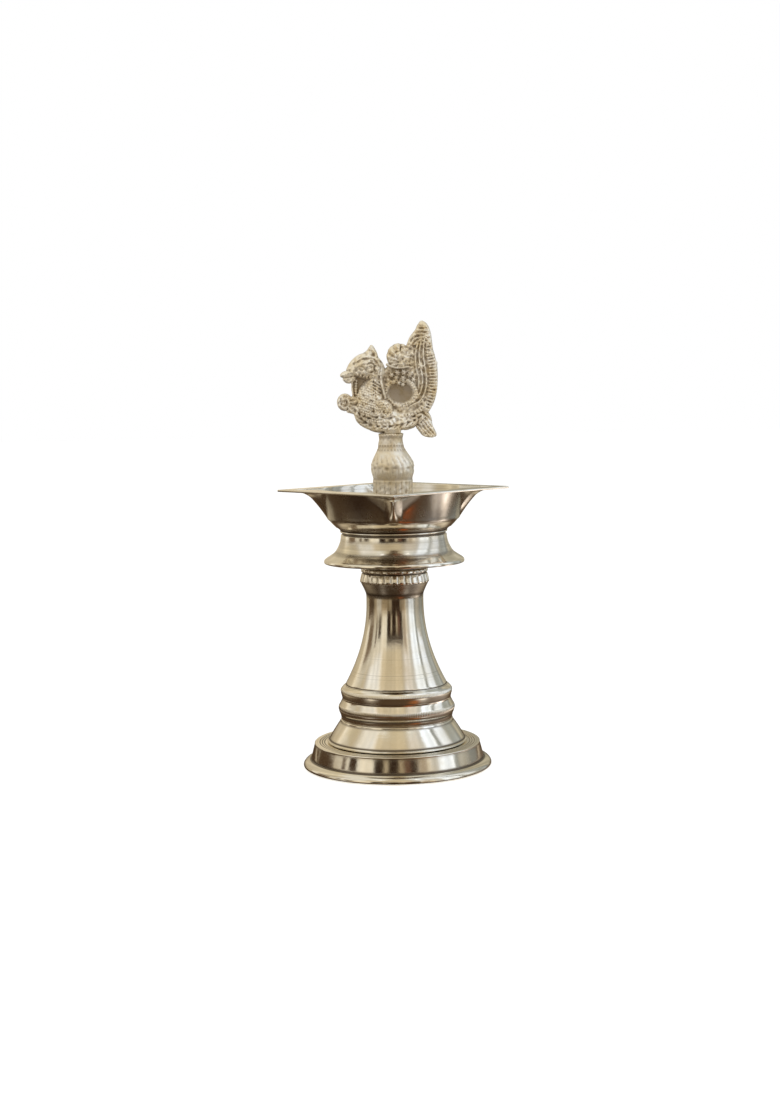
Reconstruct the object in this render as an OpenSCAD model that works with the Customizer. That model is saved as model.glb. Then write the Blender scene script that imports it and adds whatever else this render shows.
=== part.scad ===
// Aarti lamp on a bell-shaped stand: a four-spouted oil bowl with a cast bird finial.
// The stand, the bowl and the finial are turned pieces that screw apart for cleaning.
// Millimetres, +Z up, origin under the middle of the foot. The bird faces -X.

/* [Foot] */
// Diameter of the foot's flange
foot_d = 72; // [68:1:84]
// Thickness of the flange
flange_t = 1.8; // [1.2:0.1:2.2]
// Width of the flange outside the drum
flange_w = 3.4; // [3.3:0.1:5]
// How far the drum leans in from the flange up to the shoulder
drum_lean = 1.3; // [0.4:0.1:2]
// Height of the shoulder above the surface that the lamp stands on
foot_h = 9.3; // [8.6:0.1:14]
// Radius of the fillet between flange and drum
foot_fillet = 2.8; // [1.6:0.1:3.2]
// Radius of the rolled bead round the shoulder
shoulder_bead = 0.5; // [0.3:0.05:0.8]
// Wall of the foot
foot_wall = 1.2; // [0.8:0.1:1.6]

/* [Dome] */
// Width of the flat shoulder round the dome
shoulder_w = 5; // [3.6:0.1:6]
// How far the dome draws in from its base up to the waist
dome_draw = 5.2; // [4:0.1:6]
// Height of the dome
dome_h = 9.1; // [7:0.1:12]
// Radius of the bead at the dome's base
dome_bead = 0.6; // [0.4:0.05:0.9]
// Wall of the dome
dome_wall = 1.3; // [1:0.1:1.8]

/* [Rings] */
// How far the lower ring bulges out past the waist below it
lower_ring_bulge = 0.95; // [0.6:0.05:2]
// Height of the lower ring
lower_ring_h = 7.3; // [6:0.1:9]
// How far the groove between the two rings stands in from the waist
ring_groove_in = 0.4; // [0.2:0.05:0.8]
// How far the upper ring bulges out past the groove below it
upper_ring_bulge = 0.65; // [0.4:0.05:1.6]
// Height of the upper ring
upper_ring_h = 5.3; // [4:0.1:7]
// Wall of both rings at their groove
ring_wall = 2; // [1.4:0.1:2.4]

/* [Bell stem] */
// How far the bell's foot stands in from the groove between the rings
bell_in = 1.1; // [0.6:0.05:1.6]
// How far the bell's neck stands in from the collar's band
bell_neck_in = 2.35; // [1.4:0.05:3]
// Height over which the bell sweeps in to its neck
bell_sweep_h = 31.4; // [26:0.2:40]
// Height of the straight neck
bell_neck_h = 3; // [1:0.2:8]
// Height of the cove that opens out under the collar
bell_cove_h = 4.6; // [3:0.1:6]
// Wall of the bell
bell_wall = 1.2; // [0.8:0.1:1.8]

/* [Collar] */
// Diameter of the collar's fluted band
collar_d = 26.5; // [25.6:0.1:28]
// Height of the fluted band
band_h = 3.6; // [3:0.1:5]
// Height of the whole collar above the bell
collar_h = 10; // [9:0.1:12]
// How far the collar's seat for the bowl stands in from its band
seat_in = 2.75; // [2.2:0.05:3.4]
// Length of the spigot that the collar holds inside the bell's neck
spigot_h = 5; // [3:0.2:7]
// Number of flutes round the band
band_flutes = 36; // [24:1:44]
// Radius of one flute of the band
flute_r = 0.7; // [0.5:0.05:0.8]

/* [Rod and fasteners] */
// Diameter of the threaded rod and of the finial's stud
rod_d = 6; // [5:0.5:7]
// Pitch of both screw threads
pitch = 1; // [0.8:0.05:1.1]
// Turns that each screwed joint takes to come apart
thread_turns = 5; // [3:1:5]
// Length of rod below the nut
rod_stub = 1; // [0.6:0.1:1.4]
// Thickness of the clamping plate inside the foot
base_plate_t = 1.2; // [1:0.1:1.4]
// Outside diameter of the steel washer
washer_d = 12; // [11:0.5:18]
// Thickness of the steel washer
washer_t = 1; // [0.8:0.1:1.2]
// Width across the nut's flats
nut_flats = 10; // [9:0.5:11]
// Height of the nut
nut_h = 3.2; // [2.6:0.1:3.4]

/* [Bowl underside] */
// Thickness of the sealing washer between collar and bowl
bowl_washer_t = 0.4; // [0.3:0.05:0.6]
// Diameter of the threaded boss under the bowl
boss_d = 16; // [14:0.5:18]
// Height of the boss
boss_h = 10.9; // [10.6:0.1:14]
// Diameter of the band between skirt and bowl
ring_d = 40.6; // [38:0.2:44]
// How far the top of the skirt stands in from the band
skirt_in = 0.4; // [0.3:0.05:0.8]
// How far the skirt flares out from its top to its rolled rim
skirt_flare = 7; // [5:0.1:9]
// Height of the skirt
skirt_h = 10.8; // [9:0.1:13]
// Thickness of the skirt's rolled rim
skirt_rim_t = 0.9; // [0.7:0.1:1.2]
// Wall of the skirt
skirt_wall = 1; // [0.8:0.1:1.4]
// Height of the band
ring_h = 2.9; // [2:0.1:4]
// Depth of the two grooves that frame the band
ring_groove = 0.5; // [0.3:0.05:0.6]

/* [Oil bowl] */
// Number of wick spouts
spout_count = 4; // [3:1:5]
// Diameter of the circle that the spout tips lie on
tip_circle_d = 89; // [84:1:96]
// Diameter of the round bowl just under its rim
bowl_d = 55.4; // [53:0.2:57]
// How far the bowl's flat underside stands in from the band
bowl_base_in = 0.1; // [0:0.05:0.4]
// Height of the bowl from its underside to the rim
bowl_h = 14.7; // [13:0.1:18]
// How far the middle of the rim's straight sides stands out past the round bowl
rim_side_out = 3.8; // [2.6:0.1:5]
// Thickness of the flat rim
rim_t = 0.8; // [0.6:0.1:1.2]
// Wall of the bowl and of its spouts
bowl_wall = 1; // [0.8:0.1:1.2]
// Half width of a spout's keel under the bowl
keel_w = 2.4; // [2:0.1:3]
// Half width of a spout's keel at the rim
keel_rim_w = 8; // [7:0.1:9]
// How far the keel's front edge stands out past the round bowl just under the tip
keel_out = 5.7; // [4:0.1:8]

/* [Finial] */
// Thickness of the sealing washer between bowl and finial
finial_washer_t = 0.4; // [0.3:0.05:0.6]
// Diameter of the finial's foot on the bowl's floor
pedestal_d = 19; // [18:0.5:20]
// Height of the finial's foot
pedestal_h = 3.8; // [3:0.1:5]
// How far the fluted column stands in from the finial's foot
column_in = 1.9; // [1.6:0.1:2.6]
// Height of the column above the foot
column_h = 12.8; // [12:0.1:16]
// Number of flutes round the column
column_flutes = 20; // [16:1:24]
// How far the chased ball stands out past the column
ball_out = 0.5; // [0.3:0.05:1.4]
// Height of the chased ball
ball_h = 10.4; // [9:0.1:13]
// Diameter of the neck under the bird
neck_d = 8.9; // [8.2:0.1:10]
// Height of the neck
neck_h = 7.3; // [6:0.1:9]
// Length of the stud inside the column
stud_hold = 12; // [8:0.5:14]

/* [Bird] */
// Height of the bird from its pad to the tip of its tail
bird_h = 43; // [38:0.5:50]
// Thickness of the tail's plate
tail_t = 3; // [2.4:0.1:4]
// Thickness of the thin web inside the tail's ring
web_t = 0.9; // [0.6:0.1:1.4]
// How far the sides of the bird's pad stand in from the neck under it
pad_side_in = 1.9; // [1.6:0.05:2.2]
// How far the pad's front and back stand in from the neck
pad_depth_in = 0.95; // [0.7:0.05:1.4]

/* [Hidden] */

$fn = 96;
// Cuts run this far past the surface that they open
overrun = 1;
// Radial play of a screwed joint, and of a washer on its stud
thread_play = 0.05;
washer_play = 0.3;
// Play round the clamping plate and round the collar's spigot
plate_play = 0.5;
spigot_play = 0.1;
// Lead-in left on the rod after the last turn, and the space between rod and stud
rod_lead = 0.1;
stud_gap = 1;
silver = "#c9c2b4";
pale_silver = "#d8cfb8";
steel = "#9a9a98";
fibre = "#6e3b2a";

// Diameters of the stand, each from the piece below or above it
drum_d = foot_d - 2 * flange_w;
drum_top_d = drum_d - 2 * drum_lean;
dome_d = drum_top_d - 2 * shoulder_w;
waist_d = dome_d - 2 * dome_draw;
lower_ring_d = waist_d + 2 * lower_ring_bulge;
ring_groove_d = waist_d - 2 * ring_groove_in;
upper_ring_d = ring_groove_d + 2 * upper_ring_bulge;
bell_d = ring_groove_d - 2 * bell_in;
bell_neck_d = collar_d - 2 * bell_neck_in;
seat_d = collar_d - 2 * seat_in;

// Diameters of the bowl and the finial
skirt_top_d = ring_d - 2 * skirt_in;
skirt_d = skirt_top_d + 2 * skirt_flare;
bowl_base_d = ring_d - 2 * bowl_base_in;
rim_side_d = bowl_d + 2 * rim_side_out;
keel_reach = bowl_d / 2 + keel_out;
column_d = pedestal_d - 2 * column_in;
ball_d = column_d + 2 * ball_out;
pad_w = neck_d - 2 * pad_side_in;
pad_depth = neck_d - 2 * pad_depth_in;

// Heights of the pieces along the axis, each standing on the one before it
dome_z = foot_h;
lower_ring_z = dome_z + dome_h;
upper_ring_z = lower_ring_z + lower_ring_h;
bell_z = upper_ring_z + upper_ring_h;
cove_z = bell_z + bell_sweep_h + bell_neck_h;
collar_z = cove_z + bell_cove_h;
seat_z = collar_z + collar_h;
boss_z = seat_z + bowl_washer_t;
bowl_z = boss_z + boss_h;
ring_z = bowl_z - ring_h;
skirt_z = ring_z - skirt_h;
rim_z = bowl_z + bowl_h;
floor_z = bowl_z + bowl_wall;
pedestal_z = floor_z + finial_washer_t;
column_z = pedestal_z + pedestal_h;
ball_z = column_z + column_h;
neck_z = ball_z + ball_h;
bird_z = neck_z + neck_h;

// Places of the clamp inside the foot
base_plate_z = foot_h - foot_wall - base_plate_t;
washer_z = base_plate_z - washer_t;
nut_z = washer_z - nut_h;
rod_z = nut_z - rod_stub;
rod_top = boss_z + thread_turns * pitch + rod_lead;
stud_z = rod_top + stud_gap;
rod_bore_d = rod_d + 2 * thread_play;
washer_bore_d = rod_d + 2 * washer_play;

// Point at share t of a curve with ends a and c that leans towards b
function bend(a, b, c, t) = (1 - t) * (1 - t) * a + 2 * t * (1 - t) * b + t * t * c;
function bend_points(a, b, c, n) = [for (i = [0:n]) bend(a, b, c, i / n)];
// Half-round bulge from radius r0 to r1 over height h, standing out to radius top_r
function bulge_points(r0, r1, top_r, z, h, n) =
    [for (i = [0:n]) let (t = i / n, r = r0 + (r1 - r0) * t, swell = sin(180 * t))
        [r + (top_r - max(r0, r1)) * swell, z + h * t]];
// The same line of points read from its other end, moved inwards by a wall
function inner_points(points, wall) =
    [for (i = [len(points) - 1:-1:0]) [points[i][0] - wall, points[i][1]]];
// Smooth curve through control points: four neighbours give the stretch between the middle two
function weave(a, b, c, d, t) = 0.5 * (2 * b + (c - a) * t + (2 * a - 5 * b + 4 * c - d) * t * t
    + (3 * b - a - 3 * c + d) * t * t * t);
function closed_curve(p, n) = let (m = len(p))
    [for (i = [0:m - 1]) for (j = [0:n - 1])
        weave(p[(i + m - 1) % m], p[i], p[(i + 1) % m], p[(i + 2) % m], j / n)];
function open_curve(p, n) = let (m = len(p))
    [for (k = [0:(m - 1) * n]) let (i = min(floor(k / n), m - 2), t = k / n - i)
        weave(p[max(i - 1, 0)], p[i], p[i + 1], p[min(i + 2, m - 1)], t)];

// Turns an outline of radius and height pairs round the axis
module turned(points) {
    rotate_extrude() polygon(points);
}

// Straight rod or hole on the axis
module round_bar(d, z, h) {
    translate([0, 0, z]) cylinder(d = d, h = h);
}

// Flat ring on the axis with a bore
module flat_ring(outer_d, bore_d, z, h) {
    difference() {
        round_bar(outer_d, z, h);
        round_bar(bore_d, z - overrun, h + 2 * overrun);
    }
}

// Children repeated at equal angles round the axis
module around(count) {
    for (i = [0:count - 1]) rotate([0, 0, 360 * i / count]) children();
}

// Foot: flange, drum and shoulder spun from one sheet, open underneath
module foot() {
    flange_round = flange_t / 3;
    foot_r = foot_d / 2;
    drum_r = drum_d / 2;
    shoulder_r = drum_top_d / 2;
    hole_r = dome_d / 2 - 2 * dome_wall;
    fillet = [for (i = [0:4]) let (a = 90 * i / 4)
        [drum_r + foot_fillet * (1 - sin(a)), flange_t + foot_fillet * (1 - cos(a))]];
    bead = [for (i = [0:6]) let (a = 180 * i / 6 - 60)
        [shoulder_r - shoulder_bead + shoulder_bead * cos(a),
         foot_h - shoulder_bead + shoulder_bead * sin(a)]];
    color(silver) turned(concat(
        [[foot_r - flange_round, 0], [foot_r, flange_round], [foot_r, flange_t - flange_round],
         [foot_r - flange_round, flange_t]],
        fillet, bead,
        [[shoulder_r - 2 * shoulder_bead, foot_h - shoulder_bead / 4],
         [shoulder_r - 3 * shoulder_bead, foot_h], [hole_r, foot_h],
         [hole_r, foot_h - foot_wall], [shoulder_r - foot_wall, foot_h - foot_wall],
         [drum_r - foot_wall, flange_t + foot_fillet], [drum_r - foot_wall, 0]]));
}

// Dome: spun shell that stands on the shoulder with a bead at its base
module dome() {
    base_r = dome_d / 2;
    bead = [for (i = [0:6]) let (a = 180 * i / 6 - 90)
        [base_r + dome_bead * cos(a), dome_z + dome_bead + dome_bead * sin(a)]];
    slope = bend_points([base_r - dome_bead / 2, dome_z + 2 * dome_bead],
                        [(base_r + waist_d / 2) / 2, dome_z + dome_h * 0.55],
                        [waist_d / 2, dome_z + dome_h], 8);
    color(silver) turned(concat(bead, slope, inner_points(slope, dome_wall),
        [[base_r - 2 * dome_wall, dome_z]]));
}

// One bulging ring of the stand, hollow in the middle, with a raised line at its widest
module bulging_ring(d, below_d, above_d, z, h) {
    line_h = h / 9;
    mid = z + h / 2;
    bore_r = min(below_d, above_d) / 2 - ring_wall;
    bulge = bulge_points(below_d / 2, above_d / 2, d / 2, z, h, 14);
    color(silver) {
        turned(concat(bulge, [[bore_r, z + h], [bore_r, z]]));
        turned([[bore_r, mid - line_h / 2], [d / 2, mid - line_h / 2],
                [d / 2 + line_h / 3, mid], [d / 2, mid + line_h / 2], [bore_r, mid + line_h / 2]]);
    }
}

module lower_ring() {
    bulging_ring(lower_ring_d, waist_d, ring_groove_d, lower_ring_z, lower_ring_h);
}

module upper_ring() {
    bulging_ring(upper_ring_d, ring_groove_d, bell_d, upper_ring_z, upper_ring_h);
}

// Bell stem: its radius falls as the square of the height still to go, then a neck and a cove
module bell_stem() {
    bell_r = bell_d / 2;
    neck_r = bell_neck_d / 2;
    cove_r = collar_d / 2;
    sweep = [for (i = [0:16]) let (t = i / 16)
        [neck_r + (bell_r - neck_r) * (1 - t) * (1 - t), bell_z + bell_sweep_h * t]];
    cove = bend_points([neck_r, cove_z], [neck_r, cove_z + bell_cove_h * 0.4],
                       [cove_r, cove_z + bell_cove_h], 6);
    skin = concat(sweep, cove);
    color(silver) turned(concat(skin,
        [[neck_r - bell_wall, cove_z + bell_cove_h]],
        [[neck_r - bell_wall, cove_z]], inner_points(sweep, bell_wall)));
}

// Collar: fluted band with a cone above it, a spigot below it and a seat for the bowl on top
module collar() {
    band_r = collar_d / 2;
    groove = band_h / 9;
    barrel = groove * 0.75;
    cone_top_z = collar_z + collar_h;
    lip_z = collar_z + band_h;
    spigot_r = bell_neck_d / 2 - bell_wall - spigot_play;
    color(silver) difference() {
        turned([[0, collar_z - spigot_h], [spigot_r, collar_z - spigot_h], [spigot_r, collar_z],
                [band_r - barrel, collar_z], [band_r, collar_z + 2 * groove],
                [band_r - barrel, lip_z - 3 * groove], [band_r - 2 * barrel, lip_z],
                [band_r - 3 * barrel, lip_z], [band_r - 3 * barrel, lip_z + groove],
                [band_r - 2 * barrel, lip_z + 2 * groove],
                [band_r - 3 * barrel, lip_z + 5 * groove], [seat_d / 2, cone_top_z], [0, cone_top_z]]);
        round_bar(rod_bore_d, collar_z - spigot_h - overrun, collar_h + spigot_h + 2 * overrun);
        around(band_flutes) translate([band_r + flute_r / 2, 0, collar_z + groove])
            cylinder(r = flute_r, h = band_h - 2 * groove, $fn = 16);
    }
}

// Threaded rod that pulls the whole stand together, plain at its pitch diameter
module central_rod() {
    color(steel) round_bar(rod_d, rod_z, rod_top - rod_z);
}

// Plate that closes the stand's hollow from below and takes the nut's pull
module base_plate() {
    color(silver) flat_ring(drum_top_d - 2 * foot_wall - 2 * plate_play, rod_bore_d,
                            base_plate_z, base_plate_t);
}

module base_washer() {
    color(steel) flat_ring(washer_d, rod_bore_d, washer_z, washer_t);
}

module base_nut() {
    color(steel) difference() {
        translate([0, 0, nut_z]) cylinder(d = nut_flats / cos(30), h = nut_h, $fn = 6);
        round_bar(rod_bore_d, nut_z - overrun, nut_h + 2 * overrun);
    }
}

// Fibre washer that seals the collar against the boss
module bowl_washer() {
    color(fibre) flat_ring(boss_d, washer_bore_d, seat_z, bowl_washer_t);
}

// Boss soldered under the bowl: the rod screws into it from below and the stud from above
module bowl_boss() {
    color(silver) flat_ring(boss_d, rod_bore_d, boss_z, boss_h);
}

// Skirt: spun flare with a rolled rim, hollow and open below
module bowl_skirt() {
    rim_r = skirt_d / 2;
    top_r = skirt_top_d / 2;
    roll = skirt_rim_t / 2;
    rim = [for (i = [0:6]) let (a = 180 * i / 6 - 90)
        [rim_r - roll + roll * cos(a), skirt_z + roll + roll * sin(a)]];
    flare = bend_points([rim_r - 2 * roll, skirt_z + skirt_rim_t],
                        [top_r + (rim_r - top_r) * 0.15, skirt_z + skirt_rim_t + skirt_h * 0.28],
                        [top_r, ring_z], 12);
    color(silver) turned(concat(rim, flare,
        [for (i = [12:-1:0]) [flare[i][0] - skirt_wall, flare[i][1] - skirt_rim_t * (1 - i / 12)]]));
}

// Band between skirt and bowl, framed by a groove above and below
module bowl_ring() {
    band_r = ring_d / 2;
    bore_r = skirt_top_d / 2 - 2 * skirt_wall;
    edge = ring_h / 7;
    color(silver) turned([[bore_r, ring_z], [band_r - ring_groove, ring_z],
        [band_r - ring_groove, ring_z + edge], [band_r, ring_z + 2 * edge],
        [band_r, bowl_z - 2 * edge], [band_r - ring_groove, bowl_z - edge],
        [band_r - ring_groove, bowl_z], [bore_r, bowl_z]]);
}

// Half width of a keel at share s of the bowl's height: narrow below, flaring under the rim
function keel_half(s) = keel_w + (keel_rim_w - keel_w) * pow(s, 6);
// Distance of the keel's edge from the axis at share s, nearly straight up to the tip
keel_foot_r = bowl_base_d / 2 + 2.2 * bowl_wall;
tip_r = tip_circle_d / 2;
keel_tip_share = 0.9;
function keel_edge(s) = s <= keel_tip_share
    ? let (t = s / keel_tip_share) keel_foot_r + (keel_reach - keel_foot_r) * (t - 0.12 * t * (1 - t))
    : keel_reach + (tip_r - keel_reach) * 0.75 * (s - keel_tip_share) / (1 - keel_tip_share);
// Radius of the round bowl's outside at share s, full at the bottom and steep above
function bowl_r(s) = bend(bowl_base_d / 2 + 2 * bowl_wall, (bowl_d - bowl_wall) / 2, bowl_d / 2, s);

keel_level_shares = [0, 0.15, 0.3, 0.45, 0.6, 0.7, 0.8, 0.86, 0.9, 0.95, 1];

// Wedge that stands on its point, in level slices that are triangles with their tip outwards
module spout_wedge(inset, tip_inset, z0, z1) {
    n = len(keel_level_shares);
    points = [for (s = keel_level_shares) each
        let (w = keel_half(s) - inset, x = keel_edge(s) - tip_inset, z = z0 + (z1 - z0) * s,
             root = bowl_r(s) - 3 * bowl_wall)
        [[root, -w, z], [x, 0, z], [root, w, z]]];
    sides = [for (k = [0:n - 2]) for (i = [0:2])
        let (a = 3 * k + i, b = 3 * k + (i + 1) % 3) each [[a, b + 3, b], [a, a + 3, b + 3]]];
    polyhedron(points, concat([[0, 1, 2]], sides, [[3 * n - 1, 3 * n - 2, 3 * n - 3]]));
}

// Oil bowl: round below, a flat rim with a corner over each spout, and a folded keel under each
module oil_bowl() {
    skin = [for (i = [0:8]) [bowl_r(i / 8), bowl_z + bowl_wall / 2 + (bowl_h - bowl_wall / 2) * i / 8]];
    hollow = [for (i = [0:8]) let (s = i / 8)
        [bowl_r(s) - bowl_wall - (1 - s) * bowl_wall / 2, floor_z + (bowl_h - bowl_wall) * s]];
    side_r = rim_side_d / 2;
    corners = [for (i = [0:2 * spout_count - 1]) let (a = 180 * i / spout_count, r = i % 2 == 0 ? tip_r : side_r)
        [r * cos(a), r * sin(a)]];
    color(silver) difference() {
        union() {
            turned(concat([[0, bowl_z], [bowl_base_d / 2, bowl_z]], skin, [[0, rim_z]]));
            translate([0, 0, rim_z - rim_t]) linear_extrude(height = rim_t) polygon(corners);
            around(spout_count) spout_wedge(0, 0, bowl_z + bowl_wall / 4, rim_z - rim_t / 2);
        }
        turned(concat([[0, floor_z]], hollow,
            [[bowl_r(1) - bowl_wall, rim_z + overrun], [0, rim_z + overrun]]));
        around(spout_count) spout_wedge(bowl_wall, 1.6 * bowl_wall, floor_z + bowl_wall, rim_z + rim_t);
        round_bar(rod_bore_d, bowl_z - overrun, bowl_wall + 2 * overrun);
    }
}

// Fibre washer that keeps oil out of the finial's thread
module finial_washer() {
    color(fibre) flat_ring(pedestal_d, washer_bore_d, floor_z, finial_washer_t);
}

// Threaded stud under the finial, plain at its pitch diameter
module finial_stud() {
    color(steel) round_bar(rod_d, stud_z, pedestal_z + stud_hold - stud_z);
}

// Radius and height shares of the chased ball and of the ringed neck above it
ball_shares = [[0.93, 0.12], [0.98, 0.27], [1, 0.42], [1, 0.57], [0.91, 0.72], [0.76, 0.93], [0.68, 1]];
neck_shares = [[1.1, 0.16], [1, 0.3], [1.06, 0.4], [1, 0.5], [0.98, 0.8], [1.06, 1]];

// Baluster: foot, fluted column, chased ball and ringed neck, cast in one
module baluster() {
    column_r = column_d / 2;
    lip = pedestal_h * 0.4;
    cove = bend_points([pedestal_d / 2 - lip / 3, pedestal_z + lip],
                       [column_r, pedestal_z + lip], [column_r, column_z], 5);
    color(pale_silver) difference() {
        turned(concat(
            [[0, pedestal_z], [pedestal_d / 2, pedestal_z], [pedestal_d / 2, pedestal_z + lip * 0.7]],
            cove, [[column_r, ball_z - lip / 3], [column_r * 0.95, ball_z]],
            [for (p = ball_shares) [ball_d / 2 * p[0], ball_z + ball_h * p[1]]],
            [for (p = neck_shares) [neck_d / 2 * p[0], neck_z + neck_h * p[1]]],
            [[0, bird_z]]));
        round_bar(rod_bore_d, pedestal_z - overrun, stud_hold + overrun);
        around(column_flutes) translate([column_r + flute_r / 2, 0, column_z])
            cylinder(r = flute_r, h = column_h - lip, $fn = 16);
    }
}

// Places on the bird, as shares of its height from the middle of its pad.
// Leaf of the tail, from its root below the ring round by the tip and down the back of the neck
tail_shares = [[0.3, 0.21], [0.337, 0.26], [0.386, 0.335], [0.409, 0.423], [0.414, 0.526],
    [0.412, 0.62], [0.379, 0.71], [0.367, 0.812], [0.36, 0.895], [0.335, 0.963], [0.274, 1],
    [0.24, 0.963], [0.219, 0.916], [0.17, 0.853], [0.13, 0.76], [0.03, 0.64], [-0.07, 0.57],
    [-0.09, 0.45], [-0.1, 0.3], [-0.05, 0.12], [0.09, 0.01], [0.17, 0.035], [0.21, 0.06], [0.26, 0.14]];
// Feather that hangs from the tail's root
feather_shares = [[0.22, 0.15], [0.3, 0.2], [0.349, 0.144], [0.36, 0.063], [0.398, -0.021],
    [0.36, -0.047], [0.284, -0.035], [0.237, 0.014], [0.2, 0.07]];
// Rows of the body from tail root by breast, neck and head to the beak's tip:
// middle across and up, half height across the row, and half thickness
body_shares = [[0.163, 0.116, 0.05, 0.05], [0.07, 0.105, 0.093, 0.09], [-0.047, 0.128, 0.128, 0.12],
    [-0.14, 0.181, 0.165, 0.14], [-0.186, 0.286, 0.145, 0.135], [-0.17, 0.39, 0.11, 0.11],
    [-0.137, 0.475, 0.082, 0.085], [-0.15, 0.555, 0.115, 0.1], [-0.215, 0.605, 0.135, 0.115],
    [-0.29, 0.595, 0.1, 0.085], [-0.345, 0.56, 0.066, 0.055], [-0.4, 0.53, 0.045, 0.04],
    [-0.437, 0.512, 0.026, 0.026], [-0.453, 0.5, 0.01, 0.012]];
crest_shares = [[-0.333, 0.62], [-0.263, 0.702], [-0.214, 0.737], [-0.17, 0.793],
    [-0.126, 0.73], [-0.107, 0.663], [-0.067, 0.595], [-0.15, 0.55]];
curl_shares = [[-0.3, 0.19], [-0.379, 0.209], [-0.437, 0.249], [-0.456, 0.293], [-0.44, 0.323],
    [-0.405, 0.323], [-0.386, 0.3], [-0.4, 0.284]];
// Rails that follow the tail from its root to its tip
rail_shares = [
    [[0.06, 0.18], [0.19, 0.23], [0.27, 0.32], [0.305, 0.43], [0.29, 0.54], [0.25, 0.66], [0.24, 0.78], [0.275, 0.9]],
    [[0.08, 0.13], [0.23, 0.19], [0.32, 0.31], [0.345, 0.43], [0.335, 0.54], [0.3, 0.68], [0.3, 0.8], [0.29, 0.92]]];
border_shares = [[0.28, 0.22], [0.343, 0.315], [0.376, 0.42], [0.381, 0.52], [0.371, 0.62],
    [0.342, 0.71], [0.337, 0.82]];
hem_shares = [[0, 0.08], [0.08, 0.1], [0.16, 0.13], [0.23, 0.18]];
wing_shares = [[-0.13, 0.14], [-0.06, 0.12], [0, 0.145], [0.01, 0.195], [-0.035, 0.215],
    [-0.065, 0.185], [-0.04, 0.165]];
wing_share = [-0.075, 0.245];
throat_shares = [[-0.3, 0.3], [-0.305, 0.52], [-0.2, 0.55], [-0.15, 0.47], [-0.19, 0.36]];
beads_shares = [[-0.303, 0.32], [-0.31, 0.36], [-0.314, 0.4], [-0.315, 0.44], [-0.313, 0.48], [-0.308, 0.52]];
lobe_share = [0.112, 0.632];
window_share = [0.08, 0.335];
cheek_share = [-0.16, 0.58];
knop_facets = 8;

// Closed band or tube along a line of places, half as wide as `wide` in the bird's own plane
// and half as thick as `thick` across it, both as one value for each place
module strand(places, wide, thick, sides) {
    m = len(places);
    rows = [for (k = [0:m - 1]) let (
        run = places[min(k + 1, m - 1)] - places[max(k - 1, 0)],
        across = [-run[1], run[0]] / norm(run))
        each [for (i = [0:sides - 1]) let (a = 360 * i / sides,
            p = places[k] + across * wide[k] * cos(a))
            [p[0], thick[k] * sin(a), p[1]]]];
    skin = [for (k = [0:m - 2]) for (i = [0:sides - 1])
        let (a = k * sides + i, b = k * sides + (i + 1) % sides)
        each [[a, b, b + sides], [a, b + sides, a + sides]]];
    near = [for (i = [sides - 1:-1:0]) i];
    far = [for (i = [0:sides - 1]) (m - 1) * sides + i];
    polyhedron(rows, concat(skin, [near], [far]));
}

// Same width and thickness all along a smooth curve through the given shares
module cord_along(shares, wide, thick, steps) {
    places = bird_h * open_curve(shares, steps);
    strand(places, [for (p = places) wide], [for (p = places) thick], 6);
}

// Outline in the bird's own plane, given its thickness and centred on that plane
module upright(t) {
    rotate([90, 0, 0]) linear_extrude(height = t, center = true) children();
}

module knop(place, r) {
    translate([place[0] * bird_h, 0, place[1] * bird_h]) sphere(r = r, $fn = knop_facets);
}

// Short ridges across a line, one at each of its steps, thick enough to stand out of both faces
module ridges(shares, steps, length, wide, thick) {
    line = bird_h * open_curve(shares, steps);
    for (k = [0:len(line) - 1]) {
        run = line[min(k + 1, len(line) - 1)] - line[max(k - 1, 0)];
        across = [-run[1], run[0]] / norm(run) * length / 2;
        hull() for (side = [-1, 1]) translate([line[k][0] + side * across[0], 0, line[k][1] + side * across[1]])
            scale([wide, thick, wide]) sphere(r = 1, $fn = 6);
    }
}

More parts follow.
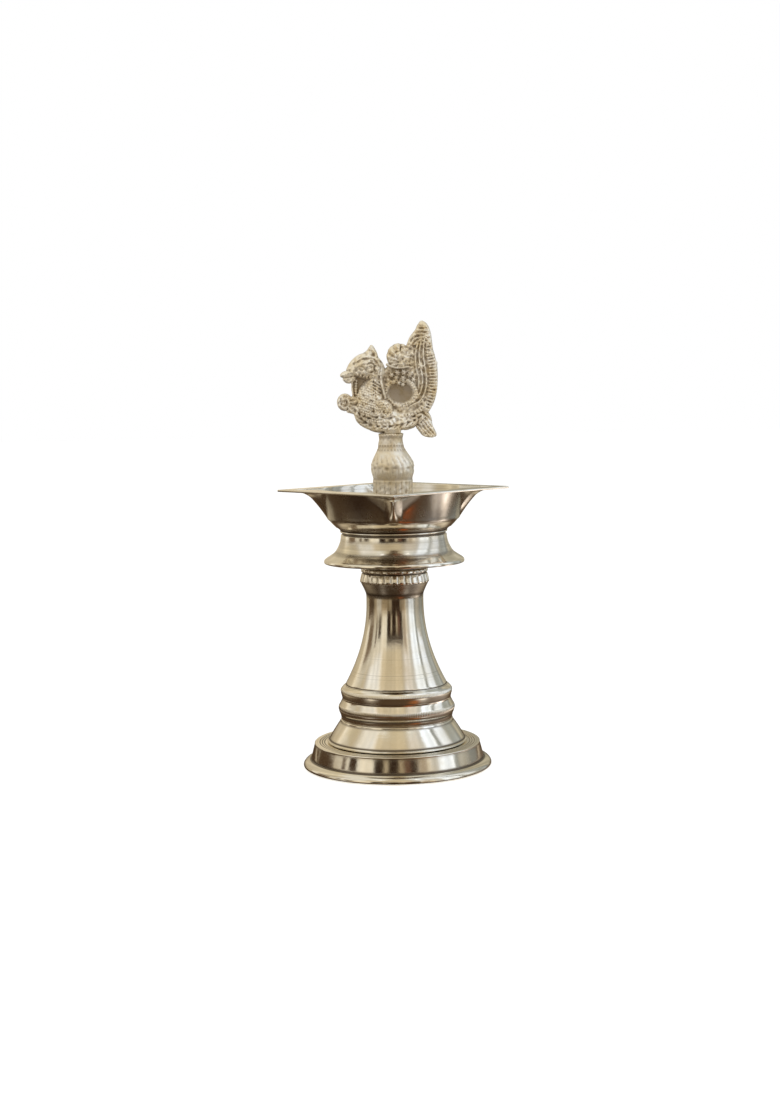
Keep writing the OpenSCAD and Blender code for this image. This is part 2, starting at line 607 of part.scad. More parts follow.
// Bird: cast in one, with body, crest, breast curl, ringed tail and hanging feather
module bird() {
    rail = bird_h / 70;
    body = open_curve(body_shares, 2);
    color(pale_silver) translate([0, 0, bird_z]) {
        difference() {
            union() {
                upright(tail_t) polygon(bird_h * closed_curve(tail_shares, 2));
                upright(tail_t * 1.2) translate(bird_h * lobe_share) scale([1, 1.25])
                    circle(r = bird_h * 0.14, $fn = 24);
            }
            for (side = [-1, 1]) translate(bird_h * [window_share[0], 0, window_share[1]])
                translate([0, side * (web_t + tail_t) / 2, 0]) scale([1.35, 1, 1]) rotate([90, 0, 0])
                    cylinder(r = bird_h * 0.07, h = tail_t, center = true, $fn = 20);
        }
        upright(tail_t * 0.9) polygon(bird_h * closed_curve(feather_shares, 2));
        upright(tail_t) polygon(bird_h * closed_curve(crest_shares, 2));
        strand([for (p = body) bird_h * [p[0], p[1]]], [for (p = body) bird_h * p[2]],
               [for (p = body) bird_h * p[3]], 12);
        for (line = rail_shares) cord_along(line, rail, tail_t * 0.75, 2);
        for (side = [-1, 1]) translate([0, side * bird_h * 0.09, 0]) {
            cord_along(wing_shares, 1.6 * rail, bird_h * 0.045, 2);
            translate([wing_share[0] * bird_h, 0, wing_share[1] * bird_h]) scale([0.8, 0.45, 1.1])
                sphere(r = bird_h * 0.1, $fn = 12);
        }
        cord_along(curl_shares, bird_h * 0.032, bird_h * 0.04, 2);
        ridges(border_shares, 3, bird_h * 0.04, rail, tail_t * 0.8);
        ridges(hem_shares, 3, bird_h * 0.05, rail, tail_t * 0.8);
        upright(web_t) polygon(bird_h * throat_shares);
        for (p = beads_shares) knop(p, bird_h * 0.024);
        for (side = [-1, 1]) translate([0, side * bird_h * 0.07, 0]) knop(cheek_share, bird_h * 0.05);
        translate([-pad_w / 2, -pad_depth / 2, 0]) cube([pad_w, pad_depth, bird_h * 0.05]);
    }
}

foot();
dome();
lower_ring();
upper_ring();
bell_stem();
collar();
central_rod();
base_plate();
base_washer();
base_nut();
bowl_washer();
bowl_boss();
bowl_skirt();
bowl_ring();
oil_bowl();
finial_washer();
finial_stud();
baluster();
bird();
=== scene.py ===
"""Aarti lamp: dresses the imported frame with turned, folded and cast silver.

Shapes are worked out in millimetres, as whole numpy arrays, and written to meshes in metres.
The lamp stands on z = 0 with its axis on Z. The bird faces -X and the camera looks along +Y.
"""

import logging
import math
from dataclasses import dataclass, field
from enum import Enum
from itertools import product

import bmesh
import bpy
import numpy as np
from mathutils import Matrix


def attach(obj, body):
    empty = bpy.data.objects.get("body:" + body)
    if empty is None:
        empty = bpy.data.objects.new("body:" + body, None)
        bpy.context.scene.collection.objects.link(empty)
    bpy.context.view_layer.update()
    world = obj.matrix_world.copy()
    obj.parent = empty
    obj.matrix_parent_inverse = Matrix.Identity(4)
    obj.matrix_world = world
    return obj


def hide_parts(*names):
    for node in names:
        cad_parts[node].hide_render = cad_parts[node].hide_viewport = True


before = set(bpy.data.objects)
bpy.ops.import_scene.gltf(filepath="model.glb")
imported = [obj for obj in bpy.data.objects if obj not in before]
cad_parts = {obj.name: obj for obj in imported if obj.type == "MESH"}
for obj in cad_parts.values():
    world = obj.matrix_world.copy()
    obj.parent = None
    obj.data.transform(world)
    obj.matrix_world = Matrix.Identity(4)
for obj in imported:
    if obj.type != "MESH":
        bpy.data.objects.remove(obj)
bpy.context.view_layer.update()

MM = 0.001
TAU = 2 * math.pi
log = logging.getLogger("aarti_lamp")


class Body(Enum):
    """The moving bodies that carry the pieces made here."""

    STAND = "stand"
    BOWL = "bowl"
    FINIAL = "finial"


class Slot(Enum):
    """Names of the record's material slots."""

    POLISHED = "polished_silver"
    CAST = "cast_silver"
    STEEL = "steel"


# Numbers

def smooth_max(a: np.ndarray, b: np.ndarray, blend: float) -> np.ndarray:
    """Larger of two fields, with a fillet where they cross.

    Formula: the two are mixed by a share that runs from 0 to 1 while their difference goes from
    -blend to blend, plus a hump of blend times share times (1 - share).

    Args:
        a: First field.
        b: Second field.
        blend: Width of the fillet, in the fields' own unit.

    Returns:
        The blended field.
    """
    share = np.clip(0.5 + 0.5 * (a - b) / blend, 0, 1)
    return b + (a - b) * share + blend * share * (1 - share)


def bend(a: list, b: list, c: list, count: int) -> np.ndarray:
    """Points of a curve from a to c that leans towards b.

    Formula: (1 - t) squared times a, plus 2 t (1 - t) times b, plus t squared times c.

    Args:
        a: First point.
        b: Point that the curve leans towards.
        c: Last point.
        count: Number of points.

    Returns:
        Array of count points.
    """
    t = np.linspace(0, 1, count)[:, None]
    return (1 - t) ** 2 * np.array(a) + 2 * t * (1 - t) * np.array(b) + t ** 2 * np.array(c)


def spline(points: list, steps: int = 8, closed: bool = False) -> np.ndarray:
    """Smooth curve through control points of any dimension.

    Formula: Catmull-Rom cubic, where four neighbours give the stretch between the middle two.

    Args:
        points: Control points, one row each.
        steps: Points for each stretch.
        closed: Whether the last point joins the first.

    Returns:
        The curve's points, one row each.
    """
    p = np.asarray(points, float)
    if closed:
        p = np.vstack([p[-1:], p, p[:2]])
    else:
        p = np.vstack([2 * p[:1] - p[1:2], p, 2 * p[-1:] - p[-2:-1]])
    t = np.linspace(0, 1, steps, endpoint=False)[:, None, None]
    a, b, c, d = p[:-3], p[1:-2], p[2:-1], p[3:]
    curve = 0.5 * (2 * b + (c - a) * t + (2 * a - 5 * b + 4 * c - d) * t ** 2
                   + (3 * b - a - 3 * c + d) * t ** 3)
    curve = curve.transpose(1, 0, 2).reshape(-1, p.shape[1])
    return curve if closed else np.vstack([curve, p[-2:-1]])


def softened(corners: np.ndarray, fillet: float = 0.15) -> np.ndarray:
    """Rounds the sharp corners of a closed outline of radius and height pairs.

    Formula: each corner that turns by more than 12 degrees becomes a three-point curve from
    one side to the other, with a support point on each side; the rest stay as they are.

    Args:
        corners: Outline, one row for each corner.
        fillet: Distance from a corner at which its rounding starts, in mm.

    Returns:
        The rounded outline.
    """
    p = np.asarray(corners, float)
    back, ahead = np.roll(p, 1, 0) - p, np.roll(p, -1, 0) - p
    back_len = np.linalg.norm(back, axis=1, keepdims=True)
    ahead_len = np.linalg.norm(ahead, axis=1, keepdims=True)
    cosine = -(back * ahead).sum(1) / (back_len * ahead_len)[:, 0]
    sharp = cosine < math.cos(math.radians(12))
    into = back / back_len * np.minimum(fillet, 0.4 * back_len)
    out = ahead / ahead_len * np.minimum(fillet, 0.4 * ahead_len)
    t = np.linspace(0, 1, 5)[:, None, None]
    arc = (1 - t) ** 2 * (p + into) + 2 * t * (1 - t) * p + t ** 2 * (p + out)
    rows = np.concatenate([(p + 1.2 * into)[None], arc, (p + 1.2 * out)[None]]).transpose(1, 0, 2)
    keep = np.repeat(sharp[:, None], rows.shape[1], axis=1)
    rows[~sharp, 3] = p[~sharp]
    keep[:, 3] = True
    return filled(rows[keep])


def filled(outline: np.ndarray, longest: float = 0.5) -> np.ndarray:
    """Splits the long edges of a closed outline evenly, so that what a corner carries stays there.

    Args:
        outline: Closed outline.
        longest: Longest edge that is left whole, in mm.

    Returns:
        The outline with the added points.
    """
    edge = np.roll(outline, -1, 0) - outline
    parts = np.ceil(np.linalg.norm(edge, axis=1) / longest).astype(int).clip(1)
    first = np.repeat(np.cumsum(parts) - parts, parts)
    share = (np.arange(parts.sum()) - first) / np.repeat(parts, parts)
    return np.repeat(outline, parts, axis=0) + np.repeat(edge, parts, axis=0) * share[:, None]


def length_along(line: np.ndarray) -> np.ndarray:
    """Length run from a line's first point to each of its points."""
    return np.concatenate([[0], np.cumsum(np.linalg.norm(np.diff(line, axis=0), axis=1))])


def at_lengths(line: np.ndarray, lengths: np.ndarray) -> np.ndarray:
    """Points of a flat line at the given lengths along it."""
    return np.stack([np.interp(lengths, length_along(line), line[:, k]) for k in (0, 1)], 1)


def hollow_of(outline: np.ndarray, reach: float = 0.45, pace: float = 0.08, half: int = 30) -> np.ndarray:
    """How deep each point of a closed outline sits below its own smoothed line.

    Formula: the outline is resampled at even steps and averaged with a bell curve of the given
    reach; the distance from the point out to the averaged line, over a tenth of the reach.

    Args:
        outline: Closed outline that has the solid on its left.
        reach: Width of the bell curve, in mm.
        pace: Spacing of the even steps, in mm.
        half: Steps each way over which the bell curve is taken.

    Returns:
        One value from 0 to 1 for each point, 1 in a deep groove.
    """
    ring = np.vstack([outline, outline[:1]])
    run = length_along(ring)
    even = np.linspace(0, run[-1], int(run[-1] / pace), endpoint=False)
    line = at_lengths(ring, even)
    weight = np.exp(-0.5 * (np.arange(-half, half + 1) * pace / reach) ** 2)
    weight /= weight.sum()
    wide = np.vstack([line[-half:], line, line[:half]])
    mean = np.stack([np.convolve(wide[:, k], weight, "valid") for k in (0, 1)], 1)
    step = np.roll(line, -1, 0) - np.roll(line, 1, 0)
    normal = np.stack([step[:, 1], -step[:, 0]], 1) / np.linalg.norm(step, axis=1, keepdims=True)
    depth = ((mean - line) * normal).sum(1) / (0.1 * reach)
    return np.clip(np.interp(run[:-1], np.append(even, run[-1]), np.append(depth, depth[0])), 0, 1)


# Meshes

def put(name: str, data: bpy.types.ID) -> bpy.types.Object:
    """Links a new object to the scene.

    Args:
        name: Name of the object.
        data: Its mesh, camera or lamp.

    Returns:
        The object.
    """
    thing = bpy.data.objects.new(name, data)
    bpy.context.scene.collection.objects.link(thing)
    return thing


def make_piece(name: str, points: np.ndarray, quads: np.ndarray, body: Body,
               material: bpy.types.Material, stands_for: tuple = (),
               hollow: np.ndarray | None = None, weld: bool = False) -> bpy.types.Object:
    """Puts a worked-out surface into a mesh piece that rides on a body.

    Args:
        name: Name of the piece.
        points: Vertices in mm, one row each.
        quads: Four vertex numbers for each face, seen anticlockwise from outside.
        body: Body that carries the piece.
        material: Finish of the piece.
        stands_for: CAD nodes that the piece stands for.
        hollow: Share of tarnish brown at each vertex, from 0 to 1, for real
        tarnish in grooves and for painted shade that some pieces add.
        weld: Whether vertices at the same place are merged, as at a pole.

    Returns:
        The piece.
    """
    mesh = bpy.data.meshes.new(name)
    mesh.from_pydata((points * MM).astype(np.float32), [], quads)
    depth = np.zeros(len(points)) if hollow is None else hollow
    # The attribute holds real tarnish in grooves and the painted shade and painted highlights that some
    # pieces add.
    mesh.attributes.new("hollow", "FLOAT", "POINT").data.foreach_set("value", depth.astype(np.float32))
    if weld:
        work = bmesh.new()
        work.from_mesh(mesh)
        bmesh.ops.remove_doubles(work, verts=work.verts, dist=1e-7)
        work.to_mesh(mesh)
        work.free()
    mesh.shade_smooth()
    mesh.materials.append(material)
    piece = put(name, mesh)
    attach(piece, body.value)
    if stands_for:
        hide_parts(*stands_for)
    log.info("%s: %d vertices, %d faces on %s", name, len(mesh.vertices), len(mesh.polygons), body.value)
    return piece


def grid_faces(rows: int, columns: int, closed: bool = True) -> np.ndarray:
    """Faces of a grid whose columns go round and whose rows join up too if closed.

    Args:
        rows: Number of rows, along the outline.
        columns: Number of columns, round the axis.
        closed: Whether the last row joins the first.

    Returns:
        Four vertex numbers for each face.
    """
    j = np.arange(rows if closed else rows - 1)[:, None]
    k = np.arange(columns)[None, :]
    up, on = (j + 1) % rows, (k + 1) % columns
    corners = np.broadcast_arrays(j * columns + k, j * columns + on, up * columns + on, up * columns + k)
    return np.stack(corners, -1).reshape(-1, 4)


def round_angles(segments: int) -> np.ndarray:
    """Angles of a full turn's columns, as one row."""
    return np.linspace(0, TAU, segments, endpoint=False)[None, :]


def turned(outline: np.ndarray, segments: int,
           relief: np.ndarray | None = None) -> tuple[np.ndarray, np.ndarray]:
    """Surface of revolution of an outline, with a relief that stands out of it.

    Formula: the point at angle a is (r cos a, r sin a, z), moved by the relief along the
    outline's own normal in the plane of radius and height.

    Args:
        outline: Radius and height pairs with the solid on their left.
        segments: Number of columns round the axis.
        relief: Height of the relief in mm, one row for each outline point, or None.

    Returns:
        Vertices in mm, column by column for each outline point in turn, and the columns' angles.
    """
    angle = round_angles(segments)
    r, z = outline[:, :1] + 0 * angle, outline[:, 1:] + 0 * angle
    if relief is not None:
        step = np.roll(outline, -1, 0) - np.roll(outline, 1, 0)
        step /= np.linalg.norm(step, axis=1, keepdims=True)
        r, z = r + step[:, 1:] * relief, z - step[:, :1] * relief
    points = np.stack([r * np.cos(angle), r * np.sin(angle), z], -1)
    return points.reshape(-1, 3), angle


def window(value: np.ndarray, low: float, high: float) -> np.ndarray:
    """Hump from 0 at low to 1 midway and back to 0 at high, as a half circle.

    Args:
        value: Where to evaluate it.
        low: Start of the hump.
        high: End of the hump.

    Returns:
        The hump's height from 0 to 1.
    """
    share = (2 * value - low - high) / (high - low)
    return np.sqrt(np.clip(1 - share ** 2, 0, 1))


# Materials

def linear(code: str) -> tuple[float, float, float, float]:
    """Linear colour with alpha 1 from an sRGB hex code.

    Args:
        code: Colour such as "#c9c2b4".

    Returns:
        Red, green, blue and alpha.
    """
    part = np.array([int(code[i:i + 2], 16) for i in (1, 3, 5)]) / 255
    part = np.where(part <= 0.04045, part / 12.92, ((part + 0.055) / 1.055) ** 2.4)
    return (*part.tolist(), 1.0)


def rgb(code: str) -> np.ndarray:
    """Linear colour without alpha, as an array, from an sRGB hex code."""
    return np.array(linear(code)[:3])


def add(tree: bpy.types.NodeTree, kind: str, settings: dict | None = None,
        **inputs: object) -> bpy.types.Node:
    """Adds one node, sets it and links or sets its inputs.

    Args:
        tree: Node tree that gets the node.
        kind: Node type.
        settings: Properties of the node.
        inputs: Values, sockets or nodes by input name, with _ for a space, or i and a number
            for an input by its place.

    Returns:
        The node.
    """
    node = tree.nodes.new(kind)
    for key, value in (settings or {}).items():
        setattr(node, key, value)
    for key, value in inputs.items():
        place = int(key[1:]) if key[0] == "i" and key[1:].isdigit() else key.replace("_", " ")
        socket = node.inputs[place]
        if isinstance(value, bpy.types.Node):
            value = value.outputs[0]
        if isinstance(value, bpy.types.NodeSocket):
            tree.links.new(value, socket)
        else:
            socket.default_value = value
    return node


def new_tree(name: str) -> tuple[bpy.types.Material, bpy.types.NodeTree]:
    """Empty material with nodes.

    Args:
        name: Name of the material.

    Returns:
        The material and its node tree.
    """
    material = bpy.data.materials.new(name)
    material.use_nodes = True
    material.node_tree.nodes.clear()
    return material, material.node_tree


def turning_place(tree: bpy.types.NodeTree) -> bpy.types.Node:
    """Radius and height of a surface point, the same all round a turned piece.

    Formula: radius is the length of (x, y), height is z; both in metres, as one vector.

    Args:
        tree: Node tree of a finish whose marks run round the axis.

    Returns:
        Node that gives the vector.
    """
    place = add(tree, "ShaderNodeTexCoord")
    parts = add(tree, "ShaderNodeSeparateXYZ", i0=place.outputs["Object"])
    flat = add(tree, "ShaderNodeCombineXYZ", X=parts.outputs["X"], Y=parts.outputs["Y"])
    radius = add(tree, "ShaderNodeVectorMath", {"operation": "LENGTH"}, i0=flat)
    return add(tree, "ShaderNodeCombineXYZ", X=radius.outputs["Value"], Y=parts.outputs["Z"])


def seen_or_mirrored(tree: bpy.types.NodeTree) -> bpy.types.Node:
    """Share that is 1 for rays from the camera, a reflection or a transmission and 0 for the rest.

    Formula: the sum of the three, clipped to 1.

    Args:
        tree: Node tree of a stage piece or of the surroundings.

    Returns:
        Node that gives the share.
    """
    path = add(tree, "ShaderNodeLightPath")
    clipped_sum = {"operation": "ADD", "use_clamp": True}
    seen = add(tree, "ShaderNodeMath", clipped_sum, i0=path.outputs["Is Camera Ray"],
               i1=path.outputs["Is Glossy Ray"])
    return add(tree, "ShaderNodeMath", clipped_sum, i0=seen, i1=path.outputs["Is Transmission Ray"])


@dataclass(frozen=True)
class SilverFinish:
    """Silver, spun or cast, with brown tarnish where the polishing cloth doesn't reach, and painted shade
    in the same brown.

    The base is the warm white of silver plate over brass. The eye gets crisp, stretched
    reflections from a spun piece and a soft sparkle from a cast one, over dark grooves.

    Attributes:
        name: Name of the material.
        clean: Colour of the polished metal.
        warm: Colour where the plate has yellowed.
        tarnish_and_shade: Colour of the sulphide in the grooves, also laid on as painted shade.
        smooth: Roughness of the brightest patches.
        dull: Roughness of the most handled patches.
        line_pitch: Spacing of the turning lines or the cast grain, in mm.
        line_depth: Height of that relief in the bump, in mm.
        dent: Height of the shallow dents that bend the reflections' edges, in mm.
        turned: Whether the lines run round the axis; otherwise the grain is even.
        patch: Size of the yellowed patches, in mm.
        tarnish_and_shade_gain: How strongly tarnish and painted shade darken the colour.
        mirrors: Share that mirrors as metal; a frosted skin scatters the rest.
    """

    name: str
    clean: str = "#f2efe8"
    warm: str = "#e9e1d0"
    tarnish_and_shade: str = "#45331f"
    smooth: float = 0.07
    dull: float = 0.19
    line_pitch: float = 0.5
    line_depth: float = 0.006
    dent: float = 0.045
    turned: bool = True
    patch: float = 11.0
    tarnish_and_shade_gain: float = 0.85
    mirrors: float = 1.0

    def build(self) -> bpy.types.Material:
        """Makes the material's nodes.

        Returns:
            The material.
        """
        material, tree = new_tree(self.name)
        place = add(tree, "ShaderNodeTexCoord").outputs["Object"]
        patches = add(tree, "ShaderNodeTexNoise", Vector=place, Scale=1 / (self.patch * MM),
                      Detail=3.0, Roughness=0.6)
        grain_at = turning_place(tree) if self.turned else place
        grain = add(tree, "ShaderNodeTexNoise", Vector=grain_at, Scale=0.5 / (self.line_pitch * MM),
                    Detail=2.0, Roughness=0.6)
        # Tarnish in grooves, and the painted shade and painted highlights that some pieces store with it,
        # pull the colour towards the tarnish brown.
        groove = add(tree, "ShaderNodeAttribute", {"attribute_name": "hollow"})
        speck = add(tree, "ShaderNodeMapRange", Value=grain, From_Min=0.62, From_Max=0.8,
                    To_Min=0.0, To_Max=0.25)
        tarnish_and_shade_share = add(tree, "ShaderNodeMath", {"operation": "MULTIPLY_ADD", "use_clamp": True},
                   i0=groove.outputs["Fac"], i1=self.tarnish_and_shade_gain, i2=speck)
        yellow = add(tree, "ShaderNodeMapRange", Value=patches, From_Min=0.35, From_Max=0.68)
        metal = add(tree, "ShaderNodeMix", {"data_type": "RGBA"}, Factor=yellow,
                    i6=linear(self.clean), i7=linear(self.warm))
        colour = add(tree, "ShaderNodeMix", {"data_type": "RGBA"}, Factor=tarnish_and_shade_share,
                     i6=metal.outputs[2], i7=linear(self.tarnish_and_shade))
        sheen = add(tree, "ShaderNodeMapRange", Value=patches, From_Min=0.3, From_Max=0.7,
                    To_Min=self.smooth, To_Max=self.dull)
        rough = add(tree, "ShaderNodeMath", {"operation": "MULTIPLY_ADD", "use_clamp": True},
                    i0=tarnish_and_shade_share, i1=0.3, i2=sheen)
        dents = add(tree, "ShaderNodeBump", Strength=1.0, Distance=self.dent * MM,
                    Height=add(tree, "ShaderNodeTexNoise", Vector=place, Scale=1 / (5 * MM), Detail=3.0))
        bump = add(tree, "ShaderNodeBump", Strength=1.0, Distance=self.line_depth * MM, Height=grain,
                   Normal=dents)
        shader = add(tree, "ShaderNodeBsdfPrincipled", Base_Color=colour.outputs[2], Metallic=self.mirrors,
                     Roughness=rough, Normal=bump)
        add(tree, "ShaderNodeOutputMaterial", Surface=shader)
        return material


@dataclass(frozen=True)
class SteelFinish:
    """Cut steel of the rod, the nut and their washer: grey, a little dull, with tool marks.

    Attributes:
        name: Name of the material.
        colour: Colour of the bare steel.
        oil: Colour of the dark film of cutting oil.
        rough: Roughness of the cut surface.
        mark: Spacing of the tool marks, in mm.
    """

    name: str = "cut_steel"
    colour: str = "#a3a29e"
    oil: str = "#6d6861"
    rough: float = 0.34
    mark: float = 0.3

    def build(self) -> bpy.types.Material:
        """Makes the material's nodes.

        Returns:
            The material.
        """
        material, tree = new_tree(self.name)
        marks = add(tree, "ShaderNodeTexNoise", Vector=turning_place(tree), Scale=0.5 / (self.mark * MM),
                    Detail=3.0)
        film = add(tree, "ShaderNodeTexNoise", Scale=1 / (6 * MM), Detail=2.0,
                   Vector=add(tree, "ShaderNodeTexCoord").outputs["Object"])
        colour = add(tree, "ShaderNodeMix", {"data_type": "RGBA"}, Factor=film,
                     i6=linear(self.colour), i7=linear(self.oil))
        bump = add(tree, "ShaderNodeBump", Strength=1.0, Distance=0.01 * MM, Height=marks)
        shader = add(tree, "ShaderNodeBsdfPrincipled", Base_Color=colour.outputs[2], Metallic=1.0,
                     Roughness=self.rough, Normal=bump)
        add(tree, "ShaderNodeOutputMaterial", Surface=shader)
        return material


@dataclass(frozen=True)
class FibreFinish:
    """Vulcanised fibre of the sealing washers: red-brown, dry and faintly mottled.

    Attributes:
        name: Name of the material.
        colour: Colour of the pressed sheet.
        fleck: Colour of its paler fibres.
        length: Length of a fibre, in mm.
    """

    name: str = "vulcanised_fibre"
    colour: str = "#6e3b2a"
    fleck: str = "#8c5540"
    length: float = 0.8

    def build(self) -> bpy.types.Material:
        """Makes the material's nodes.

        Returns:
            The material.
        """
        material, tree = new_tree(self.name)
        place = add(tree, "ShaderNodeTexCoord").outputs["Object"]
        fibres = add(tree, "ShaderNodeTexNoise", Vector=place, Scale=1 / (self.length * MM), Detail=4.0)
        colour = add(tree, "ShaderNodeMix", {"data_type": "RGBA"}, Factor=fibres,
                     i6=linear(self.colour), i7=linear(self.fleck))
        bump = add(tree, "ShaderNodeBump", Strength=1.0, Distance=0.02 * MM, Height=fibres)
        shader = add(tree, "ShaderNodeBsdfPrincipled", Base_Color=colour.outputs[2], Roughness=0.7,
                     Normal=bump)
        add(tree, "ShaderNodeOutputMaterial", Surface=shader)
        return material


@dataclass
class Finishes:
    """The finishes that the sub-assemblies share.

    Attributes:
        spun: Spun and polished silver plate of the stand and the bowl.
        cast: Cast and lightly buffed silver plate of the baluster and the bird.
        steel: Cut steel.
        fibre: Vulcanised fibre.
    """

    spun: bpy.types.Material = field(default_factory=SilverFinish("spun_silver_plate").build)
    cast: bpy.types.Material = field(default_factory=SilverFinish(
        "cast_silver_plate", clean="#fffaef", warm="#efe0c0", tarnish_and_shade="#775f3d", smooth=0.28,
        dull=0.46, line_pitch=0.3, line_depth=0.05, turned=False, patch=5.0, tarnish_and_shade_gain=0.66,
        mirrors=0.7).build)
    steel: bpy.types.Material = field(default_factory=SteelFinish().build)
    fibre: bpy.types.Material = field(default_factory=FibreFinish().build)

    def dress(self, *nodes: tuple[str, bpy.types.Material]) -> None:
        """Gives CAD nodes that stay in the scene their finish.

        Args:
            nodes: Pairs of node name and finish.
        """
        for name, material in nodes:
            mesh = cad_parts[name].data
            mesh.materials.clear()
            mesh.materials.append(material)
            log.info("%s: packed node with %s", name, material.name)


# Sub-assemblies

def threaded_bar(r: float, z0: float, z1: float, pitch: float = 1.0,
                 columns: int = 40) -> tuple[np.ndarray, np.ndarray]:
    """Bar with a right-hand screw thread and tapered ends.

    Formula: at angle a and height z the radius is r less the thread's depth times a triangle
    wave of (z / pitch - a / full turn), and less a taper over the last millimetre.

    Args:
        r: Outside radius of the thread, in mm.
        z0: Lower end, in mm.
        z1: Upper end, in mm.
        pitch: Rise of one turn, in mm.
        columns: Number of columns round the axis.

    Returns:
        Vertices and faces, closed by a pole at each end.
    """
    z = np.linspace(z0, z1, int((z1 - z0) / pitch * 8) + 1)[:, None]
    angle = round_angles(columns)
    wave = np.abs(((z / pitch - angle / TAU) % 1) * 2 - 1)
    end = np.minimum(z - z0, z1 - z)
    radius = r - 0.45 * pitch * wave - 0.5 * np.clip(1 - end, 0, 1)
    points = np.stack([radius * np.cos(angle), radius * np.sin(angle), z + 0 * angle], -1)
    low, high = (np.broadcast_to([0, 0, end_z], (1, columns, 3)) for end_z in (z0, z1))
    grid = np.concatenate([low, points, high])
    return grid.reshape(-1, 3), grid_faces(len(grid), columns, closed=False)


@dataclass
class Stand:
    """The lower half: foot, dome, two rings, bell and collar, pulled together by a rod.

    Sizes are radii and heights in mm, read off the photograph at the lamp's own scale. A height
    is where the piece or form of that name starts, unless it says top. strokes and gadroons are
    counts round the lamp, and the three last values are the columns of a turned surface.
    """

    flange_r: float = 36.0
    drum_r: float = 32.9
    shoulder_r: float = 31.2
    shoulder_z: float = 9.3
    dome_r: float = 26.3
    waist_r: float = 21.15
    lower_z: float = 18.4
    groove_z: float = 25.7
    bell_z: float = 31.0
    bell_r: float = 19.6
    neck_r: float = 10.95
    neck_z: float = 62.4
    cove_z: float = 65.4
    collar_z: float = 70.0
    collar_r: float = 13.2
    seat_z: float = 80.0
    seat_r: float = 10.5
    rod_r: float = 3.0
    rod_z: float = 1.7
    rod_top_z: float = 85.5
    strokes: int = 200
    gadroons: int = 30
    foot_columns: int = 320
    shell_columns: int = 256
    collar_columns: int = 384

    def foot(self) -> np.ndarray:
        """Outline of the foot: beaded flange, leaning drum, bead and a shoulder with fine lines.

        Returns:
            Closed outline with the solid on its left.
        """
        z = self.shoulder_z
        r = self.flange_r
        rim = bend([r, 0.6], [r, 2.4], [self.drum_r + 0.5, 3.1], 16)
        fillet = bend([self.drum_r + 0.4, 3.12], [self.drum_r + 0.02, 3.2], [self.drum_r, 3.7], 5)
        bead = bend([self.shoulder_r + 0.4, z - 0.6], [self.shoulder_r + 0.6, z + 0.2],
                    [self.shoulder_r - 0.6, z - 0.05], 9)
        lines = [[line_r + half, z - 0.18 * (half == 0)]
                 for line_r in (29.6, 28.7, 27.8) for half in (0.25, 0, -0.25)]
        base = [[r - 0.4, 0], [r - 0.02, 0.3]]
        inside = [[23.7, z], [23.7, z - 1.2], [30.0, z - 1.2], [31.3, 4.6], [31.3, 0]]
        return softened(np.vstack([base, rim, fillet, bead, lines, [[self.dome_r + 0.5, z]], inside]), 0.2)

    def dome(self) -> np.ndarray:
        """Outline of the domed shell with its base bead and two fine lines.

        Returns:
            Closed outline with the solid on its left.
        """
        z, top = self.shoulder_z, self.lower_z
        bead = bend([self.dome_r - 0.5, z], [self.dome_r + 1.3, z + 0.5], [self.dome_r - 0.35, z + 1.25], 9)
        slope = bend([self.dome_r - 0.45, z + 1.45], [24.1, z + 4.6], [self.waist_r + 0.1, top - 0.5], 16)
        groove = [[self.waist_r + 0.3, top - 0.45], [self.waist_r - 0.1, top - 0.3], [self.waist_r, top]]
        inside = bend([self.waist_r - 1.3, top], [22.2, z + 4.9], [self.dome_r - 1.9, z + 1.45], 8)
        return softened(np.vstack([bead, slope[:-1], groove, inside, [[self.dome_r - 2.6, z]]]), 0.15)

    def ring(self, start: float, swell: list, bore: float) -> np.ndarray:
        """Outline of a bulging ring, closed by a bore.

        Args:
            start: Height of the ring's underside.
            swell: Pairs of radius beyond the waist's and height above the start, going up.
            bore: Radius of the bore.

        Returns:
            Closed outline with the solid on its left.
        """
        side = spline(np.array(swell) + [self.waist_r, start], 7)
        return softened(np.vstack([side, [[bore, side[-1, 1]], [bore, side[0, 1]]]]), 0.1)

    def milling(self, outline: np.ndarray, z: float, half: float, segments: int) -> np.ndarray:
        """Relief of a raised line cut by many short upright strokes.

        Formula: a half-circle hump of the height, times 0.02 mm plus 0.13 mm times the cosine
        of the stroke count times the angle.

        Args:
            outline: Outline that carries the line.
            z: Height of the line's middle.
            half: Half of its height.
            segments: Number of columns.

        Returns:
            Relief in mm for each row and column.
        """
        angle = round_angles(segments)
        outer = outline[:, :1] > outline[:, 0].max() - 2.2
        hump = window(outline[:, 1:], z - half, z + half) * outer
        return hump * (0.02 + 0.13 * np.cos(self.strokes * angle))

    def bell(self) -> np.ndarray:
        """Outline of the bell: its radius falls as the square of the height still to go.

        Returns:
            Closed outline with the solid on its left.
        """
        t = np.linspace(0, 1, 40)[:, None]
        sweep = np.hstack([self.neck_r + (self.bell_r - self.neck_r) * (1 - t) ** 2,
                           self.bell_z + (self.neck_z - self.bell_z) * t])
        lines = [[self.bell_r + 0.05, self.bell_z], [self.bell_r - 0.05, self.bell_z + 0.2],
                 [self.bell_r - 0.32, self.bell_z + 0.35]]
        cove = spline([[self.neck_r, self.cove_z - 0.6], [11.1, 65.9], [11.6, 67.2], [12.15, 68.4],
                       [12.6, 69.3], [12.95, self.collar_z]], 5)
        inner = np.hstack([sweep[::-4, :1] - 1.3, sweep[::-4, 1:]])
        bore = [[self.neck_r - 1.2, self.collar_z]]
        return softened(np.vstack([lines, sweep[1:], cove, bore, inner]), 0.12)

